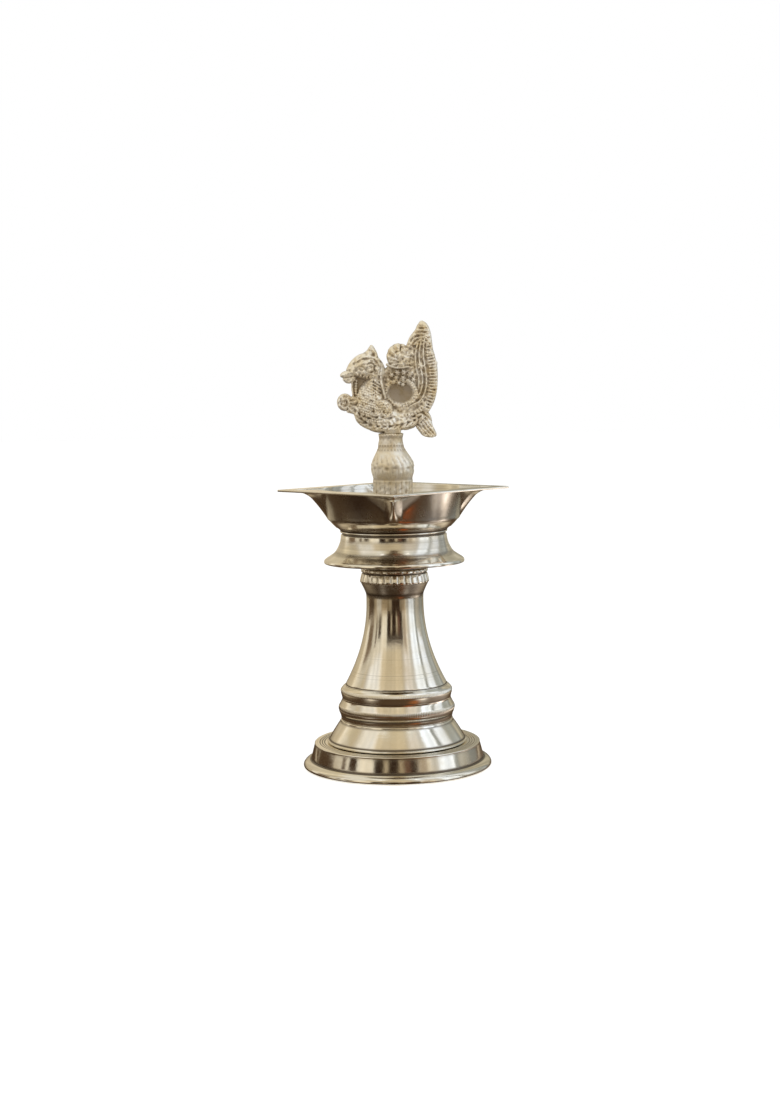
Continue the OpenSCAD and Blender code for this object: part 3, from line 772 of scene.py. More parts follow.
    def collar(self) -> np.ndarray:
        """Outline of the collar: barrel-shaped band, groove, spotted band and cone.

        Returns:
            Closed outline with the solid on its left.
        """
        z, r = self.collar_z, self.collar_r
        barrel = spline([[r - 0.42, z], [r - 0.05, z + 0.25], [r + 0.08, z + 0.8], [r - 0.1, z + 1.7],
                         [r - 0.35, z + 2.7], [r - 0.6, z + 3.5]], 12)
        upper = [[r - 0.95, z + 3.65], [r - 0.95, z + 3.95], [r - 0.62, z + 4.1]]
        spotted = bend([r - 0.6, z + 4.15], [r - 0.5, z + 4.75], [r - 0.75, z + 5.4], 12)
        cone = [[r - 1.1, z + 5.55], [r - 1.15, z + 5.9], [r - 1.5, z + 7.4],
                [self.seat_r, self.seat_z - 0.4], [self.seat_r - 0.3, self.seat_z]]
        bore = [[3.05, self.seat_z], [3.05, z - 5], [9.6, z - 5], [9.6, z - 0.1]]
        return softened(np.vstack([barrel, upper, spotted, cone, bore]), 0.12)

    def collar_relief(self, outline: np.ndarray, segments: int) -> np.ndarray:
        """Gadroons of the collar's band and the studs of the narrow band above.

        Formula: between two gadroons is a cut 0.4 mm deep, the twelfth power of the cosine of
        half their count times the angle, faded by a half circle over its height; each stud is a
        cone of 0.3 mm.

        Args:
            outline: Outline of the collar.
            segments: Number of columns.

        Returns:
            Relief in mm for each row and column.
        """
        angle = round_angles(segments)
        r, z = outline[:, :1], outline[:, 1:]
        outer = r > self.collar_r - 1.4
        start = self.collar_z
        cut = np.cos(0.5 * self.gadroons * angle) ** 12 * window(z, start + 0.1, start + 3.5)
        across = ((angle * self.gadroons / TAU % 1) - 0.5) * TAU * self.collar_r / self.gadroons
        stud = np.clip(1 - np.hypot(across, z - start - 4.75) / 0.75, 0, 1)
        return (0.3 * stud - 0.4 * cut) * outer

    def make(self, finishes: Finishes) -> None:
        """Makes and dresses every piece of the stand.

        Args:
            finishes: Shared finishes.
        """
        fine = 4 * self.strokes
        lower = self.ring(self.lower_z, [[0, 0], [0.2, 0.8], [0.35, 1.6], [0.7, 2.3], [0.95, 3.2],
                                         [0.95, 4.1], [0.8, 4.9], [0.35, 5.8], [-0.15, 6.8],
                                         [-0.35, 7.3]], 18.7)
        upper = self.ring(self.groove_z, [[-0.35, 0], [-0.35, 0.6], [-0.2, 1.2], [-0.05, 1.8], [0.1, 2.5],
                                          [0.15, 3.1], [-0.1, 3.8], [-0.5, 4.5], [-1.05, 5.0],
                                          [-1.4, 5.3]], 17.6)
        collar = self.collar()
        bands = [("foot", self.foot(), self.foot_columns, None),
                 ("dome", self.dome(), self.shell_columns, None),
                 ("lower_ring", lower, fine, self.milling(lower, self.lower_z + 4.2, 0.85, fine)),
                 ("upper_ring", upper, fine, self.milling(upper, self.groove_z + 3.6, 0.55, fine)),
                 ("bell_stem", self.bell(), self.shell_columns, None),
                 ("collar", collar, self.collar_columns, self.collar_relief(collar, self.collar_columns))]
        for name, outline, segments, relief in bands:
            points, angle = turned(outline, segments, relief)
            depth = hollow_of(outline)[:, None] + 0 * angle
            # Painted shade: the cove under the collar faces down and is darkened with the tarnish brown
            # from its foot up.
            if name == "bell_stem":
                depth = depth + 0.55 * np.clip((outline[:, 1:] - self.cove_z + 0.6) / 1.5, 0, 1)
            if relief is not None:
                cut, raised = np.clip(-relief * 1.2, 0, 0.55), np.clip(relief * 3, 0, 1)
                depth = np.clip(depth + cut - raised, 0, 1)
            make_piece(name + "_shell", points, grid_faces(len(outline), segments), Body.STAND,
                       finishes.spun, (name,), depth.ravel())
        points, faces = threaded_bar(self.rod_r, self.rod_z, self.rod_top_z)
        make_piece("stand_rod", points, faces, Body.STAND, finishes.steel,
                   ("central_rod",), weld=True)
        finishes.dress(("base_plate", finishes.spun), ("base_washer", finishes.steel),
                       ("base_nut", finishes.steel))


@dataclass
class Bowl:
    """The oil bowl with its four folded spouts, the band under it and the flared skirt.

    Sizes are in mm. The three tables pair a height above the bowl's underside with a radius of
    the round wall, a radius of the keel's edge and a half width of the keel. nose_r rounds the
    keel's edge, pleat is how far the pleat stands out of the keel and pleat_half its half width,
    and film is how deep the brown film on the outside looks, from 0 to 1.
    """

    skirt_r: float = 26.9
    skirt_z: float = 77.6
    band_z: float = 88.4
    base_z: float = 91.3
    rim_z: float = 106.0
    wall: float = 1.0
    rim_t: float = 0.8
    tip_r: float = 44.5
    side_r: float = 31.5
    nose_r: float = 0.7
    pleat: float = 1.2
    pleat_half: float = 2.9
    film: float = 0.45
    round_at: tuple = ((0, 22.1), (1.4, 23.5), (2.7, 24.6), (3.3, 24.9), (5, 25.2), (8, 25.85),
                       (11, 26.7), (13.9, 27.75))
    keel_at: tuple = ((0, 21.4), (1.4, 23.1), (2.3, 24.25), (2.9, 25.1), (3.6, 25.55), (5.2, 26.6),
                      (7.5, 28.25), (9.8, 30.1), (11.3, 31.45), (12.1, 32.4), (12.9, 33.8), (13.4, 35.5),
                      (13.9, 39.0))
    width_at: tuple = ((0, 2.8), (3, 2.8), (6, 3.0), (7.8, 3.6), (10.6, 5.8), (13.9, 9.0))
    spouts: int = 4
    spout_columns: int = 128
    ring_columns: int = 288

    def skirt(self) -> np.ndarray:
        """Outline of the skirt: rolled rim and a flare that is hollow below.

        Returns:
            Closed outline with the solid on its left.
        """
        r, z = self.skirt_r, self.skirt_z
        roll = bend([r - 1.0, z + 0.02], [r + 0.05, z - 0.15], [r, z + 0.42], 5)
        lip = bend([r, z + 0.6], [r + 0.02, z + 1.25], [r - 0.6, z + 1.6], 5)
        flare = spline([[r - 0.75, z + 1.75], [24.6, z + 2.75], [23.4, z + 3.55], [22.6, z + 4.3],
                        [22.05, z + 5.1], [21.6, z + 5.9], [21.2, z + 6.7], [20.75, z + 7.9],
                        [20.45, z + 9.2], [20.3, z + 10.8]], 5)
        inner = bend([18.9, self.band_z], [19.9, z + 3.6], [r - 1.4, z + 0.3], 12)
        return softened(np.vstack([roll, lip, flare, inner]), 0.12)

    def band(self) -> np.ndarray:
        """Outline of the band between skirt and bowl: groove, bead and a flare to the bowl's width.

        Returns:
            Closed outline with the solid on its left.
        """
        z = self.band_z
        side = [[20.1, z], [20.1, z + 0.1], [19.75, z + 0.3], [19.7, z + 0.75], [20.4, z + 0.95],
                [20.6, z + 1.2], [20.5, z + 1.45], [20.55, z + 1.8], [20.8, z + 2.1], [21.5, z + 2.7],
                [21.6, z + 2.9]]
        return softened(np.vstack([side, [[17.9, z + 2.9], [17.9, z]]]), 0.14)

    def contour(self, height: np.ndarray, angle: np.ndarray, inset: float) -> np.ndarray:
        """Radius of the folded wall at a height and at an angle from the nearest spout.

        Formula: the smooth maximum of the round wall and of a keel, e / (1 + (e - round) / w
        times the sine), which stands e from the axis and is w wide each way where it leaves the
        round wall; the sine of the angle is rounded over the edge's own radius. A narrow pleat of
        one width lies on the keel and stands out from it. The radii and the width follow the
        height by smooth curves through their tables.

        Args:
            height: Height above the bowl's underside, one row for each level.
            angle: Angle from the nearest spout, one column each.
            inset: Distance that the contour stands inside the outer wall.

        Returns:
            Radius for each row and column.
        """
        tables = (self.round_at, self.keel_at, self.width_at)
        round_r, edge, width = (np.interp(height, *spline(table).T) for table in tables)
        round_r, edge, width = round_r - inset, edge - 1.3 * inset, width - 0.6 * inset
        nose = self.nose_r / edge
        sine = np.sqrt(np.sin(angle) ** 2 + nose ** 2) - nose
        flank = edge - np.clip(0.45 * (edge - round_r), 0, self.pleat)
        slope = np.maximum(flank - round_r, 0) / width
        keel = flank / (1 + slope * sine)
        foot = np.maximum(flank / (1 + slope * self.pleat_half / edge), round_r)
        pleat = edge - np.maximum(edge - foot, 0.4) * sine * edge / self.pleat_half
        wall = smooth_max(round_r, keel, 0.15 + 1.3 * (height / self.round_at[-1][0]) ** 2)
        return smooth_max(wall, pleat, 0.12)

    def shell(self) -> tuple[np.ndarray, np.ndarray, np.ndarray]:
        """Surface of the whole bowl: under, outside, rim, inside and well as bands of one grid.

        Formula: each band is a radius, a height and a tarnish depth, for rows going up the
        outside and down the inside and for columns that crowd towards the spouts; the rim's
        outline is a square, side / cos of the angle from the middle of its side. A brown film
        covers the outside but for the spouts' edges, by a bell curve across each.

        Returns:
            Vertices, faces and tarnish depth.
        """
        share = np.linspace(-1, 1, self.spout_columns, endpoint=False)
        local = np.tile(math.pi / self.spouts * np.sign(share) * np.abs(share) ** 1.5, self.spouts)[None, :]
        angle = np.repeat(np.arange(self.spouts) * TAU / self.spouts, len(share))[None, :] + local
        side = self.side_r / np.cos(math.pi / self.spouts - np.abs(local))
        side = np.minimum(side, self.tip_r - 0.12)
        high, edge, well = self.rim_z - self.rim_t - self.base_z, self.rim_z - self.base_z, 1.9
        up = np.concatenate([np.linspace(0.1, 4, 27), np.linspace(4.3, 12, 24),
                             np.linspace(12.2, high, 12)])[:, None]
        down = np.linspace(high, well, 30)[:, None]
        ease = np.linspace(0, 1, 9)[:, None]
        outer, inner = self.contour(up, local, 0.0), self.contour(down, local, self.wall)
        under = outer[-1:] + (side - 0.3 - outer[-1:]) * ease[1:]
        top = side - 0.3 + (inner[:1] + 0.5 - side) * ease
        inner_z = down + (self.rim_t - 0.35) * (down - well) / (high - well)
        film = self.film * (1 - np.exp(-(local * outer / 2.4) ** 4)) * np.clip((up - 2.4) / 0.5, 0, 1)
        bands = [(np.c_[[3.1, 10.0, 17.0, 20.5, 21.7]], 0, 0), (outer, up, film), (under, high, 0),
                 (side - 0.06, high + 0.14, 0), (side, edge - self.rim_t / 2, 0),
                 (side - 0.06, edge - 0.14, 0), (top, edge, 0), (inner[:1] + 0.15, edge - 0.12, 0),
                 (inner, inner_z, 0.22),
                 (np.c_[[18.0, 16.5, 10.0, 3.1]], np.c_[[1.4, 1.1, 1.0, 1.0]], 0.35)]
        r, z, depth = (np.vstack([band[k] + 0 * band[0] + 0 * local for band in bands]) for k in range(3))
        points = np.stack([r * np.cos(angle), r * np.sin(angle), self.base_z + z], -1)
        return points.reshape(-1, 3), grid_faces(len(r), r.shape[1]), depth.ravel()

    def make(self, finishes: Finishes) -> None:
        """Makes and dresses every piece of the bowl.

        Args:
            finishes: Shared finishes.
        """
        for name, outline in (("bowl_skirt", self.skirt()), ("bowl_ring", self.band())):
            points, angle = turned(outline, self.ring_columns)
            depth = hollow_of(outline)[:, None] + 0 * angle
            # Painted shade: the band's flared top, tucked under the bowl, is darkened with the tarnish
            # brown.
            if name == "bowl_ring":
                depth = np.maximum(depth, 0.6 * np.clip((outline[:, 1:] - self.band_z - 1.4) / 0.4, 0, 1))
            make_piece(name + "_shell", points, grid_faces(len(outline), self.ring_columns), Body.BOWL,
                       finishes.spun, (name,), depth.ravel())
        points, faces, depth = self.shell()
        make_piece("oil_bowl_shell", points, faces, Body.BOWL, finishes.spun,
                   ("oil_bowl",), depth)
        finishes.dress(("bowl_boss", finishes.spun), ("bowl_washer", finishes.fibre),
                       ("finial_washer", finishes.fibre))


@dataclass
class Baluster:
    """Foot, fluted column, chased ball and ringed neck, cast in one.

    Sizes are in mm, and a height is where the part of that name starts, unless it says top. The
    neck stands a little off the axis towards the bird's beak, as in a hand-finished casting.
    """

    foot_z: float = 92.7
    column_z: float = 96.5
    ball_z: float = 109.3
    neck_z: float = 119.7
    top_z: float = 127.0
    stud_r: float = 3.0
    stud_z: float = 86.5
    stud_top_z: float = 104.7
    flutes: int = 22
    rows: int = 200
    columns: int = 440

    def outline(self) -> np.ndarray:
        """Outline from the middle of the underside up to the middle of the top.

        Returns:
            Open outline, evenly sampled, from pole to pole.
        """
        parts = ((self.foot_z, [[0, 0], [9.4, 0], [9.5, 0.3], [9.5, 1.4], [8.9, 1.9], [8.1, 2.5],
                                [7.75, 3.5]]),
                 (self.column_z, [[7.6, 1.0]]),
                 (self.ball_z, [[7.6, -0.7], [7.7, -0.3], [7.5, 0], [7.5, 0.4], [7.75, 1.5], [8.1, 2.7],
                                [8.25, 4.0], [8.25, 5.3], [8.0, 6.5], [7.5, 7.7], [6.8, 9.0], [6.1, 10.2]]),
                 (self.neck_z, [[5.6, 0.6], [5.25, 1.3], [4.95, 2.1], [4.8, 2.5], [4.95, 2.8], [4.8, 3.2],
                                [4.65, 3.9], [4.5, 5.5]]),
                 (self.top_z, [[4.6, -1.0], [4.8, -0.6], [4.8, -0.2], [4.5, 0], [0, 0]]))
        side = softened(np.vstack([np.array(rows) + [0, start] for start, rows in parts]), 0.3)[3:-3]
        side = np.vstack([[0, self.foot_z], side, [0, self.top_z]])
        line = at_lengths(side, np.linspace(0, length_along(side)[-1], self.rows))
        line[[0, -1], 0] = 0
        return line

    def relief(self, outline: np.ndarray) -> np.ndarray:
        """Chased relief: flutes on the column, petals on the ball, nicks on the neck.

        Formula: the column's flutes are the absolute sine of half their count times the angle,
        with a ripple along their height; the ball has tall petals above its widest line and
        short ones below, made the same way and rounded off by a half circle of the height; a
        dashed groove runs between them.

        Args:
            outline: Outline of the baluster.

        Returns:
            Relief in mm for each row and column.
        """
        angle = round_angles(self.columns)
        z = outline[:, 1:]
        rough = 0.5 * np.sin(7 * angle + 1.9 * z) + 0.5 * np.sin(11 * angle - 2.7 * z + 1.0)
        flute = np.abs(np.sin(0.5 * self.flutes * angle)) ** 0.6 - 0.75
        ball, neck = self.ball_z, self.neck_z
        column = 0.3 * flute * (1 + 0.6 * np.cos(3.2 * z + 2 * rough)) + 0.1 * rough
        column = column * window(z, self.column_z - 0.2, ball - 0.3)
        tall = 0.24 * (np.abs(np.sin(10 * angle + 0.4 * z)) ** 0.7 - 0.7)
        tall = tall * window(z, ball + 4.7, ball + 9.3)
        short = 0.2 * (np.abs(np.cos(13 * angle)) ** 0.7 - 0.7) * window(z, ball + 1.3, ball + 4.1)
        chase = 0.12 * rough * np.cos(5.3 * z) * window(z, ball + 0.2, neck - 0.2)
        dash = -0.28 * window(z, ball + 4.0, ball + 4.8) * (0.55 + 0.45 * np.cos(17 * angle))
        rings = ((neck + 0.9, neck + 1.5), (neck + 2.5, neck + 3.0), (neck + 6.6, neck + 7.2))
        beads = (0.16 * np.cos(26 * angle) - 0.1) * sum(window(z, low, high) for low, high in rings)
        nicks = 0.09 * np.cos(14 * angle) * np.cos(z * 2.6) * window(z, neck + 3.3, neck + 6.4)
        return (column + tall + short + chase + dash + beads + nicks) * (outline[:, :1] > 1)

    def make(self, finishes: Finishes) -> None:
        """Makes the baluster and the threaded stud under it.

        Args:
            finishes: Shared finishes.
        """
        outline = self.outline()
        relief = self.relief(outline)
        points = turned(outline, self.columns, relief)[0]
        points[:, 0] += np.interp(points[:, 2], [112, 116, 123, self.top_z], [0, 0, -0.6, -0.45])
        closed = np.vstack([outline, [[0, 110]]])
        depth = 0.15 + 0.7 * hollow_of(closed)[:-1, None] + np.clip(-relief * 3.0, 0, 0.8)
        make_piece("baluster_casting", points, grid_faces(len(outline), self.columns, closed=False),
                   Body.FINIAL, finishes.cast, ("baluster",), np.clip(depth, 0, 1).ravel(),
                   weld=True)
        points, faces = threaded_bar(self.stud_r, self.stud_z, self.stud_top_z)
        make_piece("finial_stud_thread", points, faces, Body.FINIAL, finishes.steel,
                   ("finial_stud",), weld=True)


class ReliefMap:
    """Half thickness of a flat casting over its own plane, built up from crowned shapes.

    The plane is x and z. Outside the casting the value is minus the distance to it, so that the
    casting's skin is where the half thickness equals the distance from the plane.
    """

    def __init__(self, x: tuple[float, float], z: tuple[float, float], step: float) -> None:
        """Lays out the grid.

        Args:
            x: Lowest and highest x, in mm.
            z: Lowest and highest z, in mm.
            step: Grid spacing, in mm.
        """
        self.step = step
        self.low = (x[0], z[0])
        self.x, self.z = np.meshgrid(np.arange(*x, step), np.arange(*z, step), indexing="ij")
        self.half = np.full_like(self.x, -5.0)

    def along(self, points: np.ndarray) -> tuple[np.ndarray, np.ndarray]:
        """Place of every grid point beside a line.

        Formula: for each stretch the foot of the perpendicular is clipped to its ends; the
        nearest stretch gives the length run so far and the signed distance, left positive.

        Args:
            points: Line, one row for each point.

        Returns:
            Length run along the line, and signed distance from it.
        """
        best = np.full_like(self.x, 1e9)
        run, off = np.zeros_like(self.x), np.zeros_like(self.x)
        length = 0.0
        for (ax, az), (bx, bz) in zip(points[:-1], points[1:]):
            dx, dz = bx - ax, bz - az
            span = math.hypot(dx, dz) + 1e-9
            px, pz = self.x - ax, self.z - az
            t = np.clip((px * dx + pz * dz) / span ** 2, 0, 1)
            far = np.hypot(px - t * dx, pz - t * dz)
            near = far < best
            best = np.where(near, far, best)
            run = np.where(near, length + t * span, run)
            off = np.where(near, np.where(dx * pz - dz * px >= 0, far, -far), off)
            length += span
        return run, off

    def depth_in(self, outline: np.ndarray) -> np.ndarray:
        """Distance inside a closed outline, negative outside it.

        Formula: the nearest distance to the outline, with its sign from how many stretches a
        line from the point towards +x crosses.

        Args:
            outline: Closed outline without its first point repeated.

        Returns:
            Signed distance in mm.
        """
        ring = np.vstack([outline, outline[:1]])
        crossings = np.zeros_like(self.x, dtype=int)
        for (ax, az), (bx, bz) in zip(ring[:-1], ring[1:]):
            if az != bz:
                between = (self.z >= min(az, bz)) & (self.z < max(az, bz))
                crossings += between & (self.x < ax + (self.z - az) * (bx - ax) / (bz - az))
        distance = np.abs(self.along(ring)[1])
        return np.where(crossings % 2 == 1, distance, -distance)

    def inside(self, points: list, steps: int = 5) -> np.ndarray:
        """Distance inside the smooth closed curve through some points, negative outside it."""
        return self.depth_in(spline(points, steps, closed=True))

    @staticmethod
    def crown(inside: np.ndarray, edge: float | np.ndarray, height: float | np.ndarray) -> np.ndarray:
        """Rounded profile: a quarter ellipse over the edge, level further in, falling outside.

        Args:
            inside: Distance inside the shape.
            edge: Distance over which it rounds.
            height: Half thickness that it reaches.

        Returns:
            Half thickness, negative outside.
        """
        share = np.clip(inside / edge, 0, 1)
        return np.where(inside > 0, height * np.sqrt(1 - (1 - share) ** 2), inside)

    def tube(self, points: list, half_width: float, height: float, blend: float) -> None:
        """Adds a rounded strip along a smooth line.

        Args:
            points: Control points of the line.
            half_width: Half of its width.
            height: Half thickness at its middle.
            blend: Fillet to what is there.
        """
        off = self.along(spline(points, 6))[1]
        self.raise_to(self.crown(half_width - np.abs(off), half_width, height), blend)

    def knob(self, x: float, z: float, r: float, height: float, blend: float = 0.2) -> None:
        """Adds a round boss.

        Args:
            x: Place across.
            z: Height.
            r: Radius.
            height: Half thickness at its middle.
            blend: Fillet to what is there.
        """
        self.raise_to(self.crown(r - np.hypot(self.x - x, self.z - z), r, height), blend)

    def raise_to(self, shape: np.ndarray, blend: float) -> None:
        """Keeps the larger of the casting and a shape."""
        self.half = smooth_max(self.half, shape, blend)

    def press(self, amount: np.ndarray) -> None:
        """Lowers the casting by an amount where it is thick enough to take it.

        Args:
            amount: Depth in mm, negative to raise.
        """
        self.half = np.where(self.half > 0.25, np.maximum(self.half - amount, 0.25), self.half)

    def spread(self, values: np.ndarray, reach: float) -> np.ndarray:
        """Map averaged three times over a square.

        Args:
            values: Map.
            reach: Half width of the square, in mm.

        Returns:
            The averaged map.
        """
        count = max(1, round(reach / self.step))
        weight = np.ones(2 * count + 1) / (2 * count + 1)
        for axis in (0, 1) * 3:
            values = np.apply_along_axis(np.convolve, axis, values, weight, "same")
        return values

    def pebbles(self, pitch_x: float, pitch_z: float, lean: float, size: float) -> np.ndarray:
        """Pattern of cones in staggered rows.

        Formula: size less the distance from the middle of a cell, in shares of the cell; every
        second row is shifted by half a cell.

        Args:
            pitch_x: Width of a cell, in mm.
            pitch_z: Height of a cell, in mm.
            lean: Rise of the rows for each mm across.
            size: Height of a cone, and its radius in shares of a cell.

        Returns:
            Height for each grid point, 0 between the cones.
        """
        row = (self.z + lean * self.x) / pitch_z
        turn = (self.x - lean * self.z) / pitch_x + 0.5 * (np.floor(row) % 2)
        return np.clip(size - np.hypot(turn % 1 - 0.5, row % 1 - 0.5), 0, 1)

    def grain(self, reach: float, height: float) -> None:
        """Roughens the casting, as its sand mould did.

        Formula: random numbers of a fixed seed, averaged over the reach and brought back to a
        deviation of 1, times the height; a thin web is left smooth.

        Args:
            reach: Half width of a lump, in mm.
            height: Typical height of a lump, in mm.
        """
        lumps = self.spread(np.random.default_rng(7).normal(size=self.x.shape), reach)
        self.press(-height * lumps / lumps.std() * np.clip((self.half - 0.6) / 0.4, 0, 1))

    def hollows(self, reach: float = 0.5) -> np.ndarray:
        """How far each place lies below the average around it: 0 level, 1 at 0.5 mm."""
        level = np.clip(self.half, 0, None)
        return np.clip((self.spread(level, reach) - level) / 0.5, 0, 1)

    def skin(self, depth: float, step: float) -> tuple[np.ndarray, np.ndarray]:
        """Closed surface of the casting, the same on both of its sides.

        Formula: surface nets. On a grid of x, y and z the field is the half thickness less the
        absolute y, over the slope's length; each cell that the surface crosses gets the mean of
        its crossings as vertex, and each crossed grid edge gets a face of its four cells.

        Args:
            depth: Largest half thickness that is sampled, in mm.
            step: Spacing through the thickness, in mm.

        Returns:
            Vertices in mm and faces.
        """
        count = int(depth / step)
        y = (np.arange(-count, count + 1) + 0.5) * step
        slope_x, slope_z = np.gradient(self.half, self.step)
        steep = np.sqrt(1 + slope_x ** 2 + slope_z ** 2)[:, None, :]
        grid = ((self.half[:, None, :] - np.abs(y)[None, :, None]) / steep).astype(np.float32)
        size = np.array(grid.shape)
        offsets = list(product((0, 1), repeat=3))
        corner = [grid[a:size[0] - 1 + a, b:size[1] - 1 + b, c:size[2] - 1 + c] for a, b, c in offsets]
        solid = sum((c > 0).astype(np.int8) for c in corner)
        active = (solid > 0) & (solid < 8)
        number = np.full(active.shape, -1, np.int64)
        number[active] = np.arange(active.sum())
        value = [c[active] for c in corner]
        total, hits = np.zeros((len(value[0]), 3)), np.zeros(len(value[0]))
        for i, j in product(range(8), repeat=2):
            way = np.subtract(offsets[j], offsets[i])
            if way.min() < 0 or way.sum() != 1:
                continue
            cross = (value[i] > 0) != (value[j] > 0)
            gap = np.where(cross, value[i] - value[j], 1)
            total += cross[:, None] * (np.array(offsets[i]) + (value[i] / gap)[:, None] * way)
            hits += cross
        points = np.argwhere(active) + total / hits[:, None]
        points = points * [self.step, step, self.step] + [self.low[0], y[0], self.low[1]]
        faces = []
        for axis in range(3):
            order = (axis, (axis + 1) % 3, (axis + 2) % 3)
            f, n = grid.transpose(order), number.transpose(order)
            near, far = f[:-1, 1:-1, 1:-1], f[1:, 1:-1, 1:-1]
            around = np.stack([n[:, :-1, :-1], n[:, 1:, :-1], n[:, 1:, 1:], n[:, :-1, 1:]], -1)
            for outward in (True, False):
                hit = (near > 0) & (far <= 0) if outward else (near <= 0) & (far > 0)
                faces.append(around[hit] if outward else around[hit][:, ::-1])
        return points, np.vstack(faces)

    def sample(self, values: np.ndarray, points: np.ndarray) -> np.ndarray:
        """Values of a map at the surface's vertices, from the nearest grid point.

        Args:
            values: Map.
            points: Vertices in mm.

        Returns:
            One value for each vertex.
        """
        place = ((points[:, [0, 2]] - self.low) / self.step).round().astype(int)
        i, k = np.clip(place, 0, np.array(values.shape) - 1).T
        return values[i, k]


def relaxed(points: np.ndarray, quads: np.ndarray, share: float, rounds: int) -> np.ndarray:
    """Evens out a mesh by moving each vertex part of the way to its neighbours' mean.

    Args:
        points: Vertices.
        quads: Faces.
        share: Part of the way.
        rounds: Number of times.

    Returns:
        Moved vertices.
    """
    ends = np.concatenate([quads, np.roll(quads, 1, 1)]).ravel()
    others = np.concatenate([np.roll(quads, 1, 1), quads]).ravel()
    degree = np.bincount(ends, minlength=len(points))[:, None]
    for _ in range(rounds):
        mean = np.stack([np.bincount(ends, points[others, k], len(points)) for k in range(3)], 1) / degree
        points = points + share * (mean - points)
    return points


@dataclass
class Bird:
    """The cast bird, part swan and part peacock, with its ringed tail. Places are x and z in mm.

    Attributes:
        across: Lowest and highest x of the map, in mm.
        upward: Lowest and highest z of the map, in mm.
        step: Spacing of the map's grid, in mm.
        thickest: Half thickness up to which the skin is looked for.
        net: Spacing of the skin's vertices through the bird's thickness, in mm.
        tail_half: Half thickness of the tail's plate.
        web_half: Half thickness of the webs in the two openings.
        kept_faces: Share of the skin's faces that is kept.
        painted_shade_and_highlights: Place, reach and depth of soft spots of painted shade in the
        tarnish brown, or of painted highlight where the depth is negative.
    """

    across: tuple[float, float] = (-22.0, 19.4)
    upward: tuple[float, float] = (124.2, 171.4)
    step: float = 0.165
    thickest: float = 6.9
    net: float = 0.21
    tail_half: float = 1.45
    web_half: float = 0.45
    kept_faces: float = 0.44
    painted_shade_and_highlights: tuple[tuple[float, ...], ...] = (
        (-11.6, 132.6, 2.5, 0.5), (-10.8, 147.9, 2.2, 0.35), (2.7, 149.6, 3.4, 0.25),
        (-6.6, 133.4, 1.6, 0.3), (-17.6, 140.0, 2.0, 0.2), (-3.4, 146.0, 2.2, -0.25),
        (4.0, 134.4, 2.8, -0.3), (15.6, 150.0, 3.6, -0.15), (13.4, 160.5, 3.0, -0.12))

    def tail(self, cast: ReliefMap) -> None:
        """Leaf-shaped tail with rails, a ribbed border, a fan of arcs and a tip bulb.

        Args:
            cast: Map that gets the relief.
        """
        inside = cast.inside([[12.9, 136.0], [14.5, 138.2], [16.6, 141.4], [17.5, 145.2], [17.8, 149.6],
                              [17.6, 153.7], [16.4, 157.5], [15.9, 161.9], [15.4, 165.5], [14.2, 168.5],
                              [12.0, 170.0], [10.4, 168.4], [9.4, 166.4], [7.3, 163.7], [5.6, 160.0],
                              [1.3, 154.4], [-2.6, 151.4], [-3.9, 146.0], [-4.3, 140.0], [-2.2, 132.2],
                              [3.9, 128.3], [7.4, 128.6], [9.2, 129.7], [11.2, 132.9]])
        cast.raise_to(cast.crown(inside, 1.0, self.tail_half), 0.3)
        tip = np.hypot(cast.x - 11.6, cast.z - 159.6)
        fan = (inside > 0.5) & (cast.z > 160.6) & (tip > 1.5) & (tip < 8.2)
        cast.press(np.where(fan, -0.35 - 0.42 * np.cos(TAU * tip / 1.35), 0))
        plate = (cast.z < 164) & ((cast.z < 160.6) | (tip > 8.2))
        cast.press(0.25 * np.clip((inside - 1.2) / 0.6, 0, 1) * plate)
        run, off = cast.along(spline([[13.0, 136.4], [14.6, 139.3], [15.6, 143.0], [16.0, 147.0],
                                      [16.0, 151.0], [15.4, 154.8], [14.7, 158.4], [14.3, 162.5],
                                      [13.9, 165.6]], 6))
        ribs = 0.5 + 0.5 * np.cos(TAU * run / 1.18)
        width = 1.8 - 0.9 * np.clip((run - 21) / 7, 0, 1)
        cast.raise_to(cast.crown(width - np.abs(off), 0.6, 1.2 + 1.1 * ribs ** 0.7), 0.12)
        rails = [
            [[13.1, 163.6], [12.6, 160.0], [12.4, 156.4], [12.9, 153.0], [13.4, 149.0], [13.3, 144.8],
             [12.2, 141.2], [10.2, 138.8], [7.0, 137.3]],
            [[11.8, 162.6], [11.1, 159.4], [10.8, 156.0], [11.2, 152.6], [11.9, 149.0], [11.9, 145.6],
             [11.0, 142.4], [9.4, 140.2]],
            [[10.4, 161.4], [9.6, 158.6], [9.3, 155.2], [9.7, 151.6], [10.4, 148.4], [10.5, 145.6],
             [9.9, 143.2]]]
        for line in rails:
            cast.tube(line, 0.5, 2.3, 0.1)
        cast.knob(12.2, 168.2, 1.5, 2.0)
        cast.tube([[10.6, 167.0], [12.3, 166.2], [14.3, 167.2]], 0.4, 1.9, 0.12)

    def ring(self, cast: ReliefMap) -> None:
        """Ring round the window, its thin web, and the beaded rows below it.

        Args:
            cast: Map that gets the relief.
        """
        round_x, round_z = (cast.x - 3.4) / 1.22, cast.z - 142.5
        far, turn = np.hypot(round_x, round_z), np.arctan2(round_z, round_x)
        cast.half = np.where(far < 5.8, np.minimum(cast.half, 1.5), cast.half)
        cast.raise_to(cast.crown(1.0 - np.abs(far - 4.85), 0.6, 2.0 + 0.3 * np.cos(32 * turn)), 0.15)
        web = np.clip((3.95 - far) / 0.3, 0, 1)
        cast.half = self.web_half + (cast.half - self.web_half) * (1 - web)
        run, off = cast.along(spline([[-0.4, 134.9], [2.2, 134.0], [5.4, 133.8], [8.4, 134.6],
                                      [11.2, 136.2], [13.0, 138.2]], 6))
        drops = np.sqrt(np.abs(np.cos(math.pi * run / 1.2)))
        cast.raise_to(cast.crown(1.15 - np.abs(off), 0.8, 1.7 + 1.1 * drops), 0.15)

